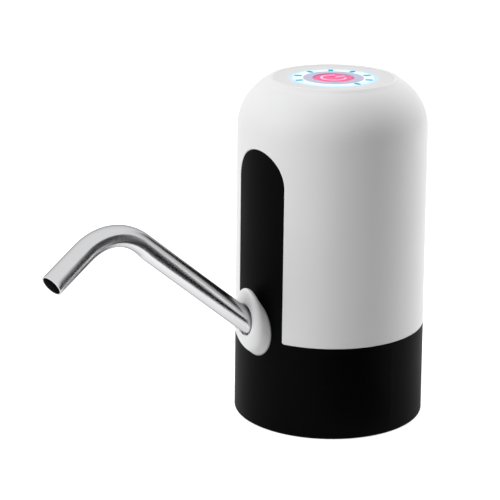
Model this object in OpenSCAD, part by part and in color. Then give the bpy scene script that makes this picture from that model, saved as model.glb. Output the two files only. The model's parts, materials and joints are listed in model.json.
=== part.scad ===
// Electric water jug pump, in millimetres.
// The origin is on the body's axis at the foot, +Z is up and the spout points along -Y.

/* [Body] */
// Outer diameter of the body at its foot
body_d = 72; // [71:0.5:78]
// Height from the foot to the top rim
body_h = 129.4; // [129:0.1:140]
// How far the wall leans in between the foot and the shoulder
body_draft = 0.7; // [0.3:0.05:1]
// Radius of the shoulder's curve
shoulder_r = 19.9; // [18:0.1:21]
// Radius of the rim round the top
rim_r = 21.3; // [20.8:0.1:22]
// Wall of the upper shell
shell_wall = 2.2; // [1.8:0.1:2.4]

/* [Front panel] */
// Width of the arched slot in the shell
slot_w = 25.2; // [23:0.1:26]
// Height of the top of the arch
slot_top = 106.3; // [90:0.1:109]
// Gap between the panel and the shell
slot_gap = 0.15; // [0.1:0.05:0.3]
// Round of the shell's corners at the foot of the slot
slot_corner = 0.8; // [0.4:0.1:1.5]

/* [Base] */
// Height of the black base
base_h = 35.3; // [34.5:0.1:37]
// Wall of the base and its panel
base_wall = 2.4; // [2.2:0.1:2.6]
// Round of the foot's edge
foot_round = 0.8; // [0.4:0.1:1.2]
// Height of the neck socket's ceiling, the deck's underside
deck_z = 29; // [27.5:0.25:29.5]
// Thickness of the deck
deck_t = 2.5; // [2:0.1:2.6]
// Height of the spigot inside the shell
spigot_h = 5.8; // [5:0.1:6.2]
// Wall of the spigot
spigot_t = 1.8; // [1.5:0.1:2]
// Gap between the spigot and the shell
spigot_gap = 0.1; // [0.05:0.01:0.2]
// Height of the snap beads above the base
bead_up = 3.2; // [2.5:0.1:4]
// Angle that each of the snap beads spans
bead_span = 30; // [15:1:40]
// Radius of the snap beads on the spigot
bead_r = 0.5; // [0.3:0.05:0.6]
// Ribs between the skirt and the neck sleeve
rib_count = 12; // [8:1:16]
// Thickness of a rib
rib_t = 1.6; // [1.2:0.1:2]

/* [Jug neck] */
// Bore of the silicone grip ring
grip_bore_d = 55.5; // [55:0.1:56]
// Wall of the grip ring
grip_t = 1.6; // [1.4:0.1:1.8]
// Height of the grip ring
grip_h = 12; // [10:0.5:13]
// Height of the grip ring's lower end
grip_z = 3; // [2.5:0.1:4]
// How deep the grip ring sits in its groove
grip_seat = 1; // [0.8:0.1:1.2]
// Wall of the neck sleeve
sleeve_wall = 2.8; // [2.6:0.1:2.9]
// How far the sleeve stops short of the foot
sleeve_lift = 0.8; // [0.5:0.1:1.5]
// Inner radius of the flat gasket
gasket_in_r = 20; // [19:0.5:24]
// Thickness of the flat gasket
gasket_t = 2; // [1.5:0.1:2.5]

/* [Spout] */
// Outer diameter of the spout tube
tube_d = 8.2; // [7.8:0.1:8.4]
// Wall of the spout tube
tube_wall = 0.5; // [0.4:0.05:0.8]
// Height where the spout's axis leaves the body
spout_z = 39; // [38.8:0.1:40]
// Rise of the spout above the horizontal
spout_rise = 39.4; // [38:0.1:41]
// Straight run from the body to the bend
spout_run = 65; // [50:0.5:90]
// Radius of the bend at the tube's middle
bend_r = 22; // [16:0.2:30]
// Angle of the bend
bend_turn = 70.7; // [40:0.1:90]
// Straight run from the bend to the open end
tip_run = 16.5; // [10:0.1:30]
// How much the wall thins in the bend, on each face
bend_thin = 0.02; // [0.02:0.01:0.05]
// How far the straight runs reach into the bend
bend_lap = 0.5; // [0.3:0.1:0.6]
// How far the spout is turned in its collar
spout_turn = 7; // [-30:1:30]
// Gap between parts that turn or slide in each other
run_gap = 0.05; // [0.03:0.01:0.08]

/* [Spout collar] */
// Radius of the slanted collar
collar_r = 8.75; // [8.5:0.05:9.2]
// How far its upright face stands off the body
collar_out = 6.4; // [6:0.1:8]
// Round of the collar's front edge
collar_round = 2.8; // [1.5:0.1:3.2]
// Gap round the tube at the collar's mouth
mouth_gap = 0.3; // [0.2:0.05:0.4]
// Radius of the stem that goes through the panel
stem_r = 6.3; // [6.2:0.05:6.4]
// How far the stem reaches in from the body's face, along the spout
stem_in = 4.2; // [4:0.1:4.4]
// Radial wall of the silicone sleeve
seal_t = 1.05; // [0.9:0.05:1.15]
// Length of the silicone sleeve
seal_h = 8.5; // [7.5:0.1:8.6]
// Gap between moulded parts that fit together
seat_gap = 0.05; // [0.03:0.01:0.1]

/* [Outlet elbow] */
// Wall of the cup round the stem
cup_wall = 1.4; // [1.2:0.1:1.6]
// How far the cup reaches in, along the spout
cup_in = 8.5; // [8:0.1:9]
// Radius of the elbow's foot
elbow_r = 5.2; // [5:0.1:5.6]
// Distance of the riser behind the body's face
riser_in = 9.6; // [9.4:0.1:10.4]
// Height of the riser's shoulder above the deck
riser_root = 14.5; // [14:0.1:16]
// Radius of the water way
way_r = 2; // [1.6:0.1:2.2]

/* [Hoses] */
// Inner diameter of the inner hoses
hose_id = 5.3; // [5.2:0.1:5.5]
// Wall of the inner hoses
hose_wall = 1.5; // [1.2:0.1:1.7]
// Length of a hose barb
barb_h = 8.5; // [7:0.1:9]
// Length of a barb's tapered nose
barb_nose = 2; // [1:0.1:3]
// Bend radius of the outlet hose
hose_bend = 11; // [10:0.1:11.5]
// Outer diameter of the suction nipple
nipple_d = 8; // [7:0.1:9]
// Length of the suction nipple below the deck
nipple_h = 12; // [10:0.1:12.5]
// Taper at the nipple's end
nipple_nose = 1.5; // [1:0.1:2.5]
// How much wider the nipple's shank is in the deck
shank_step = 0.5; // [0.3:0.1:1]
// Rim of the nipple's flange outside its seal
flange_rim = 0.9; // [0.6:0.1:1.5]
// Thickness of the nipple's flange over its seal
flange_over = 0.6; // [0.5:0.1:1]
// Radius of the seal ring's section
seal_ring_r = 0.7; // [0.6:0.05:0.8]

/* [Gear pump] */
// Distance of the gear line behind the body's axis
pump_y = 4; // [3.5:0.1:4.5]
// Height of the pump above the deck
pump_lift = 29.5; // [29:0.1:30.5]
// Module of the gears
gear_module = 0.8; // [0.78:0.01:0.82]
// Teeth on each gear
gear_teeth = 10; // [10:2:10]
// Pressure angle of the gears
gear_angle = 25; // [24:0.5:26]
// Face width of the gears
gear_w = 8.3; // [8.1:0.1:8.8]
// Play between the flanks of the teeth
gear_play = 0.12; // [0.08:0.01:0.2]
// Gap between the gears and the chamber
gear_gap = 0.1; // [0.05:0.01:0.15]
// Wall round the gear chamber
pump_wall = 2.7; // [2.4:0.1:2.8]
// Thickness of the pump's cover
cover_t = 3.5; // [3:0.1:4]
// Thickness of the pump's gasket
pump_gasket_t = 0.5; // [0.3:0.1:0.8]
// Thickness of the wall between the gears and the motor
pump_top_t = 4; // [3.8:0.1:4.5]
// Distance of each port from the gear line
port_off = 4.2; // [4:0.05:4.4]
// Radius of the idler's pin
pin_r = 1.25; // [1:0.05:1.4]
// Radius of the screw lugs
lug_r = 2.8; // [2.6:0.1:3]

/* [Motor] */
// Outer diameter of the motor
motor_d = 24.4; // [24:0.1:24.6]
// Length of the motor's can
can_h = 26; // [25:0.1:26.5]
// Wall of the can
can_wall = 0.9; // [0.7:0.1:1.1]
// Height of the end cap
cap_h = 4.8; // [4.6:0.1:5.2]
// Diameter of the shaft
shaft_d = 2; // [1.9:0.05:2.1]
// Radius of the nose that centres the motor
nose_r = 3.1; // [2.9:0.05:3.3]
// Height of the nose
nose_h = 1.5; // [1.2:0.1:1.6]
// Outer radius of the armature
armature_r = 8.2; // [7.8:0.05:8.3]
// Air gap round the armature
air_gap = 0.4; // [0.3:0.05:0.6]
// Height of the armature's stack
stack_h = 13; // [11:0.5:14]

/* [Battery] */
// Diameter of the cell
cell_d = 18.4; // [18:0.1:18.5]
// Length of the cell
cell_h = 65; // [60:0.5:65]
// Place of the cell's axis to the right
cell_x = 21; // [20.9:0.05:21.2]
// Place of the cell's axis to the back
cell_y = 5.5; // [4.5:0.1:6]
// Thickness of the welded strips
tab_t = 0.3; // [0.2:0.05:0.4]
// Wall of the inner frame
frame_wall = 1.5; // [1.2:0.1:1.6]
// Gap between the frame and what it holds
frame_gap = 0.1; // [0.05:0.05:0.15]

/* [Boards] */
// Thickness of both circuit boards
board_t = 1.6; // [1:0.1:1.6]
// Height of the main board above the base's upper edge
board_up = 8.7; // [8.4:0.1:9.5]
// Width of the charging socket
usb_w = 7.5; // [7.3:0.1:7.7]
// Height of the charging socket
usb_h = 2.6; // [2.5:0.1:2.9]
// Length of the charging socket
usb_l = 5; // [5:0.1:5.6]
// Gap between the socket and the shell's cut-out
usb_gap = 0.3; // [0.2:0.05:0.5]
// Rim of the control board outside its screw heads
board_rim = 0.3; // [0.2:0.1:1]

/* [Top controls] */
// Depth of the dish in the top
dish_d = 1; // [0.6:0.1:1.4]
// Radius of the dish's floor
dish_r = 18.7; // [18:0.1:19]
// Width of the dish's sloping side
dish_slope = 2; // [1:0.1:2]
// Thickness of the roof under the dish
roof_t = 1.7; // [1.4:0.1:2]
// Outer radius of the light ring
ring_out_r = 15.4; // [15:0.1:16]
// Inner radius of the light ring
ring_in_r = 11.2; // [11:0.1:11.5]
// Width of the ring's hidden flange
ring_lip = 1.8; // [1.5:0.1:2.2]
// Thickness of the ring's hidden flange
lip_t = 1.1; // [0.9:0.1:1.3]
// Number of lit dashes
mark_count = 8; // [6:1:10]
// Angle from one dash to the next
mark_step = 36; // [30:1:36]
// Length of a dash
mark_l = 2.5; // [1.6:0.1:2.8]
// Width of a dash
mark_w = 1.4; // [0.8:0.1:1.8]
// Radius of the circle of dashes
mark_r = 13.4; // [13.2:0.1:13.6]
// Turn of the dashes round the ring
mark_turn = 0; // [-18:1:18]
// Radius of the button
button_r = 7.4; // [6.8:0.1:7.6]
// Gap round the button
button_gap = 0.25; // [0.2:0.05:0.3]
// How far the button stands above the dish
button_rise = 0.45; // [0.3:0.05:0.6]
// How far the button travels
button_travel = 0.6; // [0.3:0.1:0.8]

/* [Screws] */
// Radius of the self-tapping screws
screw_r = 1; // [0.9:0.05:1.1]
// Radius of a screw's head
head_r = 2; // [1.8:0.1:2.2]
// Height of a screw's head
head_h = 1.4; // [1.2:0.1:1.6]
// Wall of a screw post
post_wall = 1.8; // [1.5:0.1:2]
// Diameter of the inside wires
wire_d = 1.2; // [1:0.1:1.4]

/* [Hidden] */
$fn = 64;
cut = 1;

// Body
body_r = body_d / 2;
shoulder_c = body_r - body_draft - shoulder_r;
shoulder_z = body_h - sqrt(shoulder_r ^ 2 - (rim_r - shoulder_c) ^ 2);
dish_z = body_h - dish_d;
roof_z = dish_z - roof_t;
function wall_r(z) = body_r - body_draft * z / shoulder_z;

// Base
base_in_r = body_r - base_wall;
deck_top = deck_z + deck_t;
spigot_r = wall_r(base_h + spigot_h) - shell_wall - spigot_gap;
spigot_in_r = spigot_r - spigot_t;
bead_z = base_h + bead_up;
grip_r = grip_bore_d / 2;
grip_out_r = grip_r + grip_t;
sleeve_in_r = grip_out_r + seat_gap - grip_seat;
sleeve_out_r = sleeve_in_r + sleeve_wall;

// Spout and collar
tube_r = tube_d / 2;
seal_in_r = tube_r + run_gap;
seal_r = seal_in_r + seal_t;
mouth_r = tube_r + mouth_gap;
cup_r = stem_r + seat_gap + cup_wall;
collar_steps = 6;
slice_t = 0.01;
way_room = 0.2;

// Water path
hose_r = hose_id / 2 + hose_wall;
barb_r = hose_id / 2 - seat_gap;
barb_lip = 0.2;
nipple_r = nipple_d / 2;
shank_r = nipple_r + shank_step;
seal_ring_c = shank_r + 2 * seal_ring_r;
flange_r = seal_ring_c + seal_ring_r + seat_gap + flange_rim;
flange_t = 2 * seal_ring_r + flange_over;
riser_y = -(body_r - riser_in);
riser_z = deck_top + riser_root;

// Pump, from the cover up to the motor
pitch_r = gear_module * gear_teeth / 2;
addendum = 0.875;
dedendum = 1.125;
tip_r = pitch_r + addendum * gear_module;
root_r = pitch_r - dedendum * gear_module;
chamber_r = tip_r + gear_gap;
pump_r = chamber_r + pump_wall;
pump_z = deck_top + pump_lift;
gasket_z = pump_z + cover_t;
chamber_z = gasket_z + pump_gasket_t;
chamber_top = gasket_z + gear_w + 2 * gear_gap;
motor_z = chamber_top + pump_top_t;
outlet_z = chamber_z + barb_r + way_room / 2;
inlet_y = pump_y + port_off;
outlet_y = pump_y - port_off;
lug_out = 0.65;
lug_angle = 56.5;
lug_x = pitch_r + (pump_r + lug_out) * cos(lug_angle);
lug_y = (pump_r + lug_out) * sin(lug_angle);
pump_bite = 7.5;
tip_room = 0.5;
pin_seat = 2;
pump_seal_h = 1.8;

// Motor
motor_r = motor_d / 2;
can_in_r = motor_r - can_wall;
can_top = motor_z + can_h;
motor_top = can_top + cap_h;
shaft_r = shaft_d / 2;
bush_in_r = shaft_r + run_gap;
bush_wall = 1.15;
bush_r = bush_in_r + bush_wall;
bush_short = 0.1;
boss_h = 2.5;
cap_in = 2;
cap_wall = 1.4;
cap_roof = 1.5;
cap_boss_z = can_top + 1.3;
cap_boss_wall = 1;
bore_cover = 0.8;
magnet_in_r = armature_r + air_gap;
magnet_over = 1;
magnet_angle = 130;
stack_lift = 7;
stack_z = motor_z + stack_lift;
hub_r = 3.2;
pole_w = 3.2;
shoe_t = 1.2;
shoe_angle = 92;
winding_h = 1.5;
winding_w = 5.2;
winding_x = 3.5;
winding_l = sqrt((armature_r - shoe_t - air_gap / 2) ^ 2 - (winding_w / 2) ^ 2) - winding_x;
commutator_r = 2.5;
commutator_h = 3.6;
slit_d = 0.5;
slit_w = 0.3;
commutator_z = stack_z + stack_h + winding_h + air_gap;
brush_z = commutator_z + commutator_h / 2;
brush_r = commutator_r + run_gap;
brush_t = 0.6;
terminal_w = 2;
terminal_t = 1;
terminal_x = 7.2;
terminal_up = 2.4;
shaft_end = 1.2;
shaft_room = 0.2;
motor_bite = 2.5;
motor_hole_off = 8.5;

// Battery and inner frame
cell_r = cell_d / 2;
cell_z = deck_top + frame_wall + tab_t;
cell_top = cell_z + cell_h;
sleeve_r = cell_r + frame_gap;
motor_ring_r = motor_r + frame_gap;
frame_clear = 0.4;
frame_limit_r = spigot_in_r - frame_clear;
cup_h = 18;
cup_top = deck_top + cup_h;
clamp_lift = 5;
clamp_h = 16;
clamp_z = motor_z + clamp_lift;
clamp_top = clamp_z + clamp_h;
strip_w = 8;
ear_lift = 5.5;
ear_z = deck_top + ear_lift;
ear_t = 2.5;
ear_arm_w = 3;
ear_bite = 4.5;
web_w = 8;
tab_w = 4;
tab_room = 0.2;
top_tab = [9, 8.5];
low_tab_l = 19;
tab_out = 3.2;
low_tab_end = cell_y + sleeve_r + frame_wall + tab_out;
frame_ears = [[10.5, -5.5], [11.5, 17.5]];

// Boards
board_z = base_h + board_up;
board_top = board_z + board_t;
board_w = 21;
board_l = 13;
shoulder_in = 6.5;
board_in = 3.2;
usb_in = 0.7;
board_shoulder_y = body_r - shoulder_in;
board_y = board_shoulder_y - board_l;
board_end_y = body_r - board_in;
usb_face_y = body_r - usb_in;
usb_side = 1;
board_post_side = 7.5;
board_post_back = board_y + 9.5;
board_post_front = board_y + 3;
board_posts = [[-board_post_side, board_post_back], [board_post_side, board_post_back],
    [0, board_post_front]];
board_bite = 6;
chip_size = [3, 3.2, 1.1];
chip_at = [-5.3, 6, 0];
coil_size = [2.9, 2.6, 1.2];
coil_at = [2.3, 5.8, 0];
resistor_size = [1.8, 3, 1];
resistor_at = [-4.5, 1.8, 0];
capacitor_at = [4, 2.2, 0];
capacitor_r = 1.6;
capacitor_h = 2.4;
usb_round = 0.8;
usb_skin = 0.35;
tongue = [4, 0.6, 3.8];
ring_z = roof_z - lip_t;
bezel_lip_t = 1.2;
bezel_z = ring_z - bezel_lip_t;
button_lip_t = 1.3;
button_lip_gap = 0.1;
button_z = bezel_z - button_lip_gap - button_lip_t;
stem_h = 1;
plunger_top = button_z - stem_h;
switch_h = 3.4;
switch_w = 6;
plunger_h = 1.6;
plunger_r = 1.7;
plunger_in = 0.6;
plunger_gap = 0.1;
stem_foot_r = 1.6;
control_top = plunger_top - plunger_h - switch_h;
control_z = control_top - board_t;
post_r = screw_r + post_wall;
post_clear = 0.3;
control_posts_r = ring_out_r + ring_lip + post_clear + post_r;
control_r = control_posts_r + head_r + board_rim;
control_bite = 5.5;
led_w = 1.6;
led_h = 0.8;
led_gap = 0.4;
guide_in = 1.1;
guide_w = 2.4;
mark_d = 0.5;
mark_proud = 0.05;
bezel_proud = 0.1;
bezel_lip = 0.8;
button_lip = 1;

// Routes of the inside wires, from the upper end to the main board
motor_wire_l = [[-7.2, 0, motor_top + 2.4], [-7.2, 0, motor_top + 4], [-8, 8, motor_top + 4.5],
    [-9, 15.5, motor_top + 1], [-9.5, 20, 98], [-9.5, 22, 75], [-9.5, 20, 52], [-9.5, 19, board_top + 3],
    [-9.5, 19, board_top]];
motor_wire_r = [[7.2, 0, motor_top + 2.4], [7.2, 0, motor_top + 4], [3, 9, motor_top + 4.5],
    [-4, 13, motor_top + 4], [-6.5, 18, motor_top], [-6, 20.5, 98], [-7, 22.5, 75], [-7, 20.5, 52],
    [-7, 19, board_top + 3], [-7, 19, board_top]];
cell_wire_top = [[16, 11, cell_top + tab_t], [16, 11, cell_top + 2], [13, 17, cell_top + 3], [9.5, 20.5, 94],
    [7.5, 22.5, 75], [6.5, 21, 52], [6.5, 20, board_top + 3], [6.5, 20, board_top]];
cell_wire_low = [[21, 18.3, cell_z], [21, 18.3, cell_z + 4], [19.5, 20.5, 45], [15, 22.5, board_top + 4],
    [10.5, 21.5, board_top + 4.5], [9, 20.5, board_top + 3], [9, 20.5, board_top]];
control_wire = [[0, 15, control_z], [0, 15, control_z - 3], [0, 19, 102], [0, 22.5, 80], [0, 24.5, 60],
    [0, 24, board_top + 4], [0, 24, board_top]];
control_wire_step = 1.5;

// Smooth curve through points
function unit(v) = v / norm(v);
function curve_point(a, b, c, d, t) =
    0.5 * (2 * b + (c - a) * t + (2 * a - 5 * b + 4 * c - d) * t ^ 2 + (3 * b - a - 3 * c + d) * t ^ 3);
function smooth(p, steps) = let(last = len(p) - 1) concat(
    [for (i = [0:last - 1]) for (k = [0:steps - 1]) curve_point(
        i == 0 ? 2 * p[0] - p[1] : p[i - 1], p[i], p[i + 1],
        i == last - 1 ? 2 * p[last] - p[last - 1] : p[i + 2], k / steps)],
    [p[last]]);
function headings(p, first, final) = let(last = len(p) - 1)
    [for (i = [0:last]) i == 0 ? first : i == last ? final : unit(p[i + 1] - p[i - 1])];
function sides(t, first) = [for (i = 0, n = first; i < len(t); i = i + 1,
    n = i < len(t) ? unit(n - (n * t[i]) * t[i]) : n) n];

// Wire swept along a smooth curve
module wire(points) {
    ring = 8;
    end = len(points) - 1;
    p = smooth(points, 3);
    t = headings(p, unit(points[1] - points[0]), unit(points[end] - points[end - 1]));
    n = sides(t, unit(cross(t[0], [0.3, 1, 0.1])));
    count = len(p);
    skin = [for (i = [0:count - 1]) for (k = [0:ring - 1])
        p[i] + wire_d / 2 * (cos(360 * k / ring) * n[i] + sin(360 * k / ring) * cross(t[i], n[i]))];
    walls = [for (i = [0:count - 2]) for (k = [0:ring - 1]) let(j = (k + 1) % ring) each [
        [i * ring + k, (i + 1) * ring + k, (i + 1) * ring + j],
        [i * ring + k, (i + 1) * ring + j, i * ring + j]]];
    ends = [[for (k = [0:ring - 1]) k], [for (k = [ring - 1:-1:0]) (count - 1) * ring + k]];
    polyhedron(skin, concat(walls, ends));
}

// Profile of the body from the axis out, drawn in by inset and cut level at top
module body_outline(inset, top) {
    polygon([[0, 0], [wall_r(0) - inset, 0], [wall_r(shoulder_z) - inset, shoulder_z], [0, shoulder_z]]);
    translate([0, shoulder_z]) square([shoulder_c, top - shoulder_z]);
    translate([shoulder_c, shoulder_z]) intersection() {
        circle(r = shoulder_r - inset);
        square([shoulder_r, top - shoulder_z]);
    }
}

// Arched shape of the slot and its panel, seen from the front
module arch(width, top) {
    translate([0, top - width / 2]) circle(d = width);
    translate([-width / 2, 0]) square([width, top - width / 2]);
}

module to_front() rotate([90, 0, 0]) linear_extrude(body_d) children();

// Places children along the spout's axis, s outward from the body's face
module on_spout(s) translate([0, -body_r, spout_z]) rotate([90 - spout_rise, 0, 0]) translate([0, 0, s])
    children();

// Upright oval slice of a round bar that leans with the spout, out from the body's face
module lean_slice(out, r) translate([0, -body_r - out, spout_z + out * tan(spout_rise)]) rotate([90, 0, 0])
    scale([1, 1 / cos(spout_rise), 1]) cylinder(r = r, h = slice_t, $fn = 48);

module screw(length) {
    translate([0, 0, -head_h]) cylinder(r = head_r, h = head_h);
    cylinder(r = screw_r, h = length);
}

module screw_hole(length) cylinder(r = screw_r + seat_gap, h = length);

// Hose barb standing on its root
module barb(length) {
    cylinder(r = barb_r, h = length - barb_nose);
    translate([0, 0, length - barb_nose]) cylinder(r1 = barb_r, r2 = way_r + barb_lip, h = barb_nose);
}

module at_control_posts() for (a = [30, 150, 270]) rotate(a) translate([control_posts_r, 0, 0]) children();

module upper_shell() color("white") difference() {
    union() {
        rotate_extrude() difference() {
            body_outline(0, body_h);
            body_outline(shell_wall, roof_z);
            square([body_r + cut, base_h]);
            polygon([[0, dish_z], [dish_r, dish_z], [dish_r + dish_slope, body_h], [dish_r, body_h + cut],
                [0, body_h + cut]]);
            square([ring_out_r + seat_gap, body_h]);
            translate([spigot_r, bead_z]) circle(r = bead_r + spigot_gap);
        }
        at_control_posts() translate([0, 0, control_top])
            cylinder(r = post_r, h = roof_z - control_top + roof_t / 2);
    }
    to_front() arch(slot_w, slot_top);
    to_front() for (side = [-1, 1]) translate([side * slot_w / 2, base_h]) scale([side, 1]) difference() {
        translate([-cut, -cut]) square(slot_corner + cut);
        translate([slot_corner, slot_corner]) circle(r = slot_corner);
    }
    translate([0, body_r, board_top + usb_h / 2]) rotate([90, 0, 0])
        linear_extrude(4 * shell_wall, center = true) usb_outline(usb_gap);
    at_control_posts() translate([0, 0, control_top - cut]) screw_hole(control_bite + tip_room + cut);
}

// Wall of the skirt, drawn on to the shoulder for the panel
module base_skirt() {
    foot_c = wall_r(foot_round) - foot_round;
    polygon([[base_in_r, 0], [foot_c, 0], [foot_c, foot_round], [wall_r(foot_round), foot_round],
        [wall_r(shoulder_z), shoulder_z], [base_in_r, shoulder_z]]);
    translate([foot_c, foot_round]) circle(r = foot_round);
}

module base_sleeve() difference() {
    translate([sleeve_in_r, sleeve_lift]) square([sleeve_wall, deck_z - sleeve_lift]);
    translate([0, grip_z]) square([grip_out_r + seat_gap, grip_h]);
}

// All above the base except the arched panel
module panel_trim() difference() {
    translate([0, 0, base_h]) cylinder(r = body_d, h = body_h);
    to_front() arch(slot_w - 2 * slot_gap, slot_top - slot_gap);
}

// Spigot inside the shell, with a snap bead on each side and at the back
module base_spigot() {
    difference() {
        rotate_extrude() {
            translate([spigot_in_r, base_h - cut]) square([spigot_t, spigot_h + cut]);
            translate([spigot_in_r, base_h - cut]) square([body_r - cut - spigot_in_r, cut]);
        }
        to_front() translate([-slot_w / 2, base_h - 2 * cut]) square([slot_w, body_h]);
    }
    for (a = [0, 90, 180]) rotate(a - bead_span / 2) rotate_extrude(angle = bead_span)
        translate([spigot_r, bead_z]) circle(r = bead_r);
}

module base_housing() color("#1c1c1e") difference() {
    union() {
        difference() {
            rotate_extrude() {
                base_skirt();
                base_sleeve();
                translate([0, deck_z]) square([base_in_r + base_wall / 2, deck_t]);
            }
            panel_trim();
        }
        for (i = [0:rib_count - 1]) rotate((i + 0.5) * 360 / rib_count)
            translate([sleeve_out_r - sleeve_wall / 4, -rib_t / 2, 2 * sleeve_lift])
                cube([base_in_r - sleeve_out_r + sleeve_wall / 2, rib_t, deck_z - sleeve_lift]);
        base_spigot();
        for (p = board_posts) translate([p.x, p.y, deck_z])
            cylinder(r = post_r, h = board_z - deck_z);
        for (p = frame_ears) translate([p.x, p.y, deck_z])
            cylinder(r = post_r, h = ear_z - deck_z);
    }
    cup_window(seat_gap);
    translate([0, inlet_y, deck_z - cut]) cylinder(r = shank_r + seat_gap, h = deck_t + 2 * cut);
    for (p = board_posts) translate([p.x, p.y, deck_top]) screw_hole(board_z - deck_top + cut);
    for (p = frame_ears) translate([p.x, p.y, deck_top]) screw_hole(ear_z);
}

module neck_grip() color("#3a3a3c") translate([0, 0, grip_z + seat_gap]) difference() {
    cylinder(r = grip_out_r, h = grip_h - 2 * seat_gap);
    translate([0, 0, -cut]) cylinder(r = grip_r, h = grip_h + 2 * cut);
}

module neck_gasket() color("#4a4a4c") translate([0, 0, deck_z - gasket_t]) difference() {
    cylinder(r = sleeve_in_r - seat_gap, h = gasket_t);
    translate([0, 0, -cut]) cylinder(r = gasket_in_r, h = gasket_t + 2 * cut);
}

// Suction nipple below the deck, flange on it and barb above
module inlet_fitting() color("ivory") translate([0, inlet_y, 0]) difference() {
    union() {
        translate([0, 0, deck_z - nipple_h])
            cylinder(r1 = nipple_r - nipple_nose / 2, r2 = nipple_r, h = nipple_nose);
        translate([0, 0, deck_z - nipple_h + nipple_nose])
            cylinder(r = nipple_r, h = nipple_h - nipple_nose + cut);
        translate([0, 0, deck_z]) cylinder(r = shank_r, h = deck_t + cut);
        translate([0, 0, deck_top]) cylinder(r = flange_r, h = flange_t);
        translate([0, 0, deck_top + flange_t]) barb(barb_h);
    }
    translate([0, 0, deck_z - nipple_h - cut]) cylinder(r = way_r, h = body_h);
    translate([0, 0, deck_top]) rotate_extrude() translate([seal_ring_c - seal_ring_r - seat_gap, 0])
        square([2 * (seal_ring_r + seat_gap), 2 * seal_ring_r]);
}

module inlet_seal() color("#b03030") translate([0, inlet_y, deck_top + seal_ring_r]) rotate_extrude()
    translate([seal_ring_c, 0]) circle(r = seal_ring_r - seat_gap / 2);

module inlet_hose() color("#d8dcd6") translate([0, inlet_y, deck_top + flange_t + seat_gap]) difference() {
    cylinder(r = hose_r, h = pump_lift - flange_t - 2 * seat_gap);
    translate([0, 0, -cut]) cylinder(r = hose_id / 2, h = pump_lift + 2 * cut);
}

// One solid path of the outlet hose, from the pump along -Y and down to the riser
module outlet_path(r) {
    start_y = pump_y - pump_r - seat_gap;
    bend_y = riser_y + hose_bend;
    translate([0, start_y, outlet_z]) rotate([90, 0, 0]) cylinder(r = r, h = start_y - bend_y);
    translate([0, bend_y, outlet_z - hose_bend]) rotate([90, 0, -90]) rotate_extrude(angle = 90)
        translate([hose_bend, 0]) circle(r = r);
    translate([0, riser_y, riser_z + seat_gap]) cylinder(r = r, h = outlet_z - hose_bend - riser_z - seat_gap);
}

module outlet_hose() color("#d8dcd6") difference() {
    outlet_path(hose_r);
    outlet_path(hose_id / 2);
}

// Room of the elbow's cup in the panel, above the deck
module cup_window(gap) intersection() {
    on_spout(-cup_in) cylinder(r = cup_r + gap, h = 2 * cup_in);
    translate([-body_r, -body_d, deck_top]) cube([body_d, body_d, body_h]);
}

module outlet_elbow() color("ivory") difference() {
    link_s = -(stem_in + way_r + way_room);
    link_z = spout_z + link_s * sin(spout_rise);
    link_y = -(body_r + link_s * cos(spout_rise));
    union() {
        intersection() {
            cup_window(0);
            rotate_extrude() body_outline(seat_gap, body_h);
        }
        translate([0, riser_y, deck_top]) cylinder(r = elbow_r, h = riser_root);
        translate([0, riser_y, riser_z]) barb(barb_h);
    }
    on_spout(-stem_in - seat_gap) cylinder(r = stem_r + seat_gap, h = 4 * cup_in);
    on_spout(link_s - way_r / 2) cylinder(r = tube_r - 2 * tube_wall, h = 2 * stem_in);
    translate([0, link_y, link_z]) rotate([-90, 0, 0]) cylinder(r = way_r, h = riser_y - link_y);
    translate([0, riser_y, link_z]) sphere(r = way_r);
    translate([0, riser_y, link_z]) cylinder(r = way_r, h = body_h);
}

// Leaning bar with an upright front face and a round front edge
module collar_form() hull() {
    lean_slice(-2 * collar_out, collar_r);
    for (i = [0:collar_steps]) let(a = 90 * i / collar_steps)
        lean_slice(collar_out - collar_round * (1 - sin(a)) - slice_t, collar_r - collar_round * (1 - cos(a)));
}

// Collar and stem in one: what of the form lies outside the body, or in the stem's hole
module spout_collar() color("white") difference() {
    collar_form();
    difference() {
        rotate_extrude() body_outline(0, body_h);
        on_spout(-stem_in) cylinder(r = stem_r, h = 4 * collar_out);
    }
    on_spout(-stem_in - cut) cylinder(r = seal_r + run_gap, h = seal_h + 2 * run_gap + cut);
    on_spout(0) cylinder(r = mouth_r, h = 4 * collar_out);
}

module spout_seal() color("#e4e6e2") on_spout(-stem_in + run_gap) difference() {
    cylinder(r = seal_r, h = seal_h);
    translate([0, 0, -cut]) cylinder(r = seal_in_r, h = seal_h + 2 * cut);
}

// Section of the spout's wall, drawn in from both faces by thin
module tube_ring(thin) difference() {
    circle(r = tube_r - thin);
    circle(r = tube_r - tube_wall + thin);
}

// Straight run, bend and tip, from the seat in the elbow outward
module spout_tube() color("silver") on_spout(0) rotate(spout_turn) {
    translate([0, 0, -stem_in]) linear_extrude(stem_in + spout_run + bend_lap) tube_ring(0);
    translate([0, -bend_r, spout_run]) rotate([90, 0, 90]) rotate_extrude(angle = bend_turn)
        translate([bend_r, 0]) tube_ring(bend_thin);
    translate([0, -bend_r, spout_run]) rotate([bend_turn, 0, 0]) translate([0, bend_r, -bend_lap])
        linear_extrude(tip_run + bend_lap) tube_ring(0);
}

// Outline of the pump's body and cover, seen from above
module pump_outline() {
    translate([0, pump_y]) {
        for (side = [-1, 1]) translate([side * pitch_r, 0]) circle(r = pump_r);
        square([2 * pitch_r, 2 * pump_r], center = true);
    }
    at_lugs() circle(r = lug_r);
}

module at_lugs() for (side = [-1, 1], back = [-1, 1]) translate([side * lug_x, pump_y + back * lug_y])
    children();

module chamber_outline() {
    for (side = [-1, 1]) translate([side * pitch_r, pump_y]) circle(r = chamber_r);
    for (y = [inlet_y, outlet_y]) translate([0, y]) circle(r = way_r);
    translate([-way_r, outlet_y]) square([2 * way_r, 2 * port_off]);
}

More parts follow.
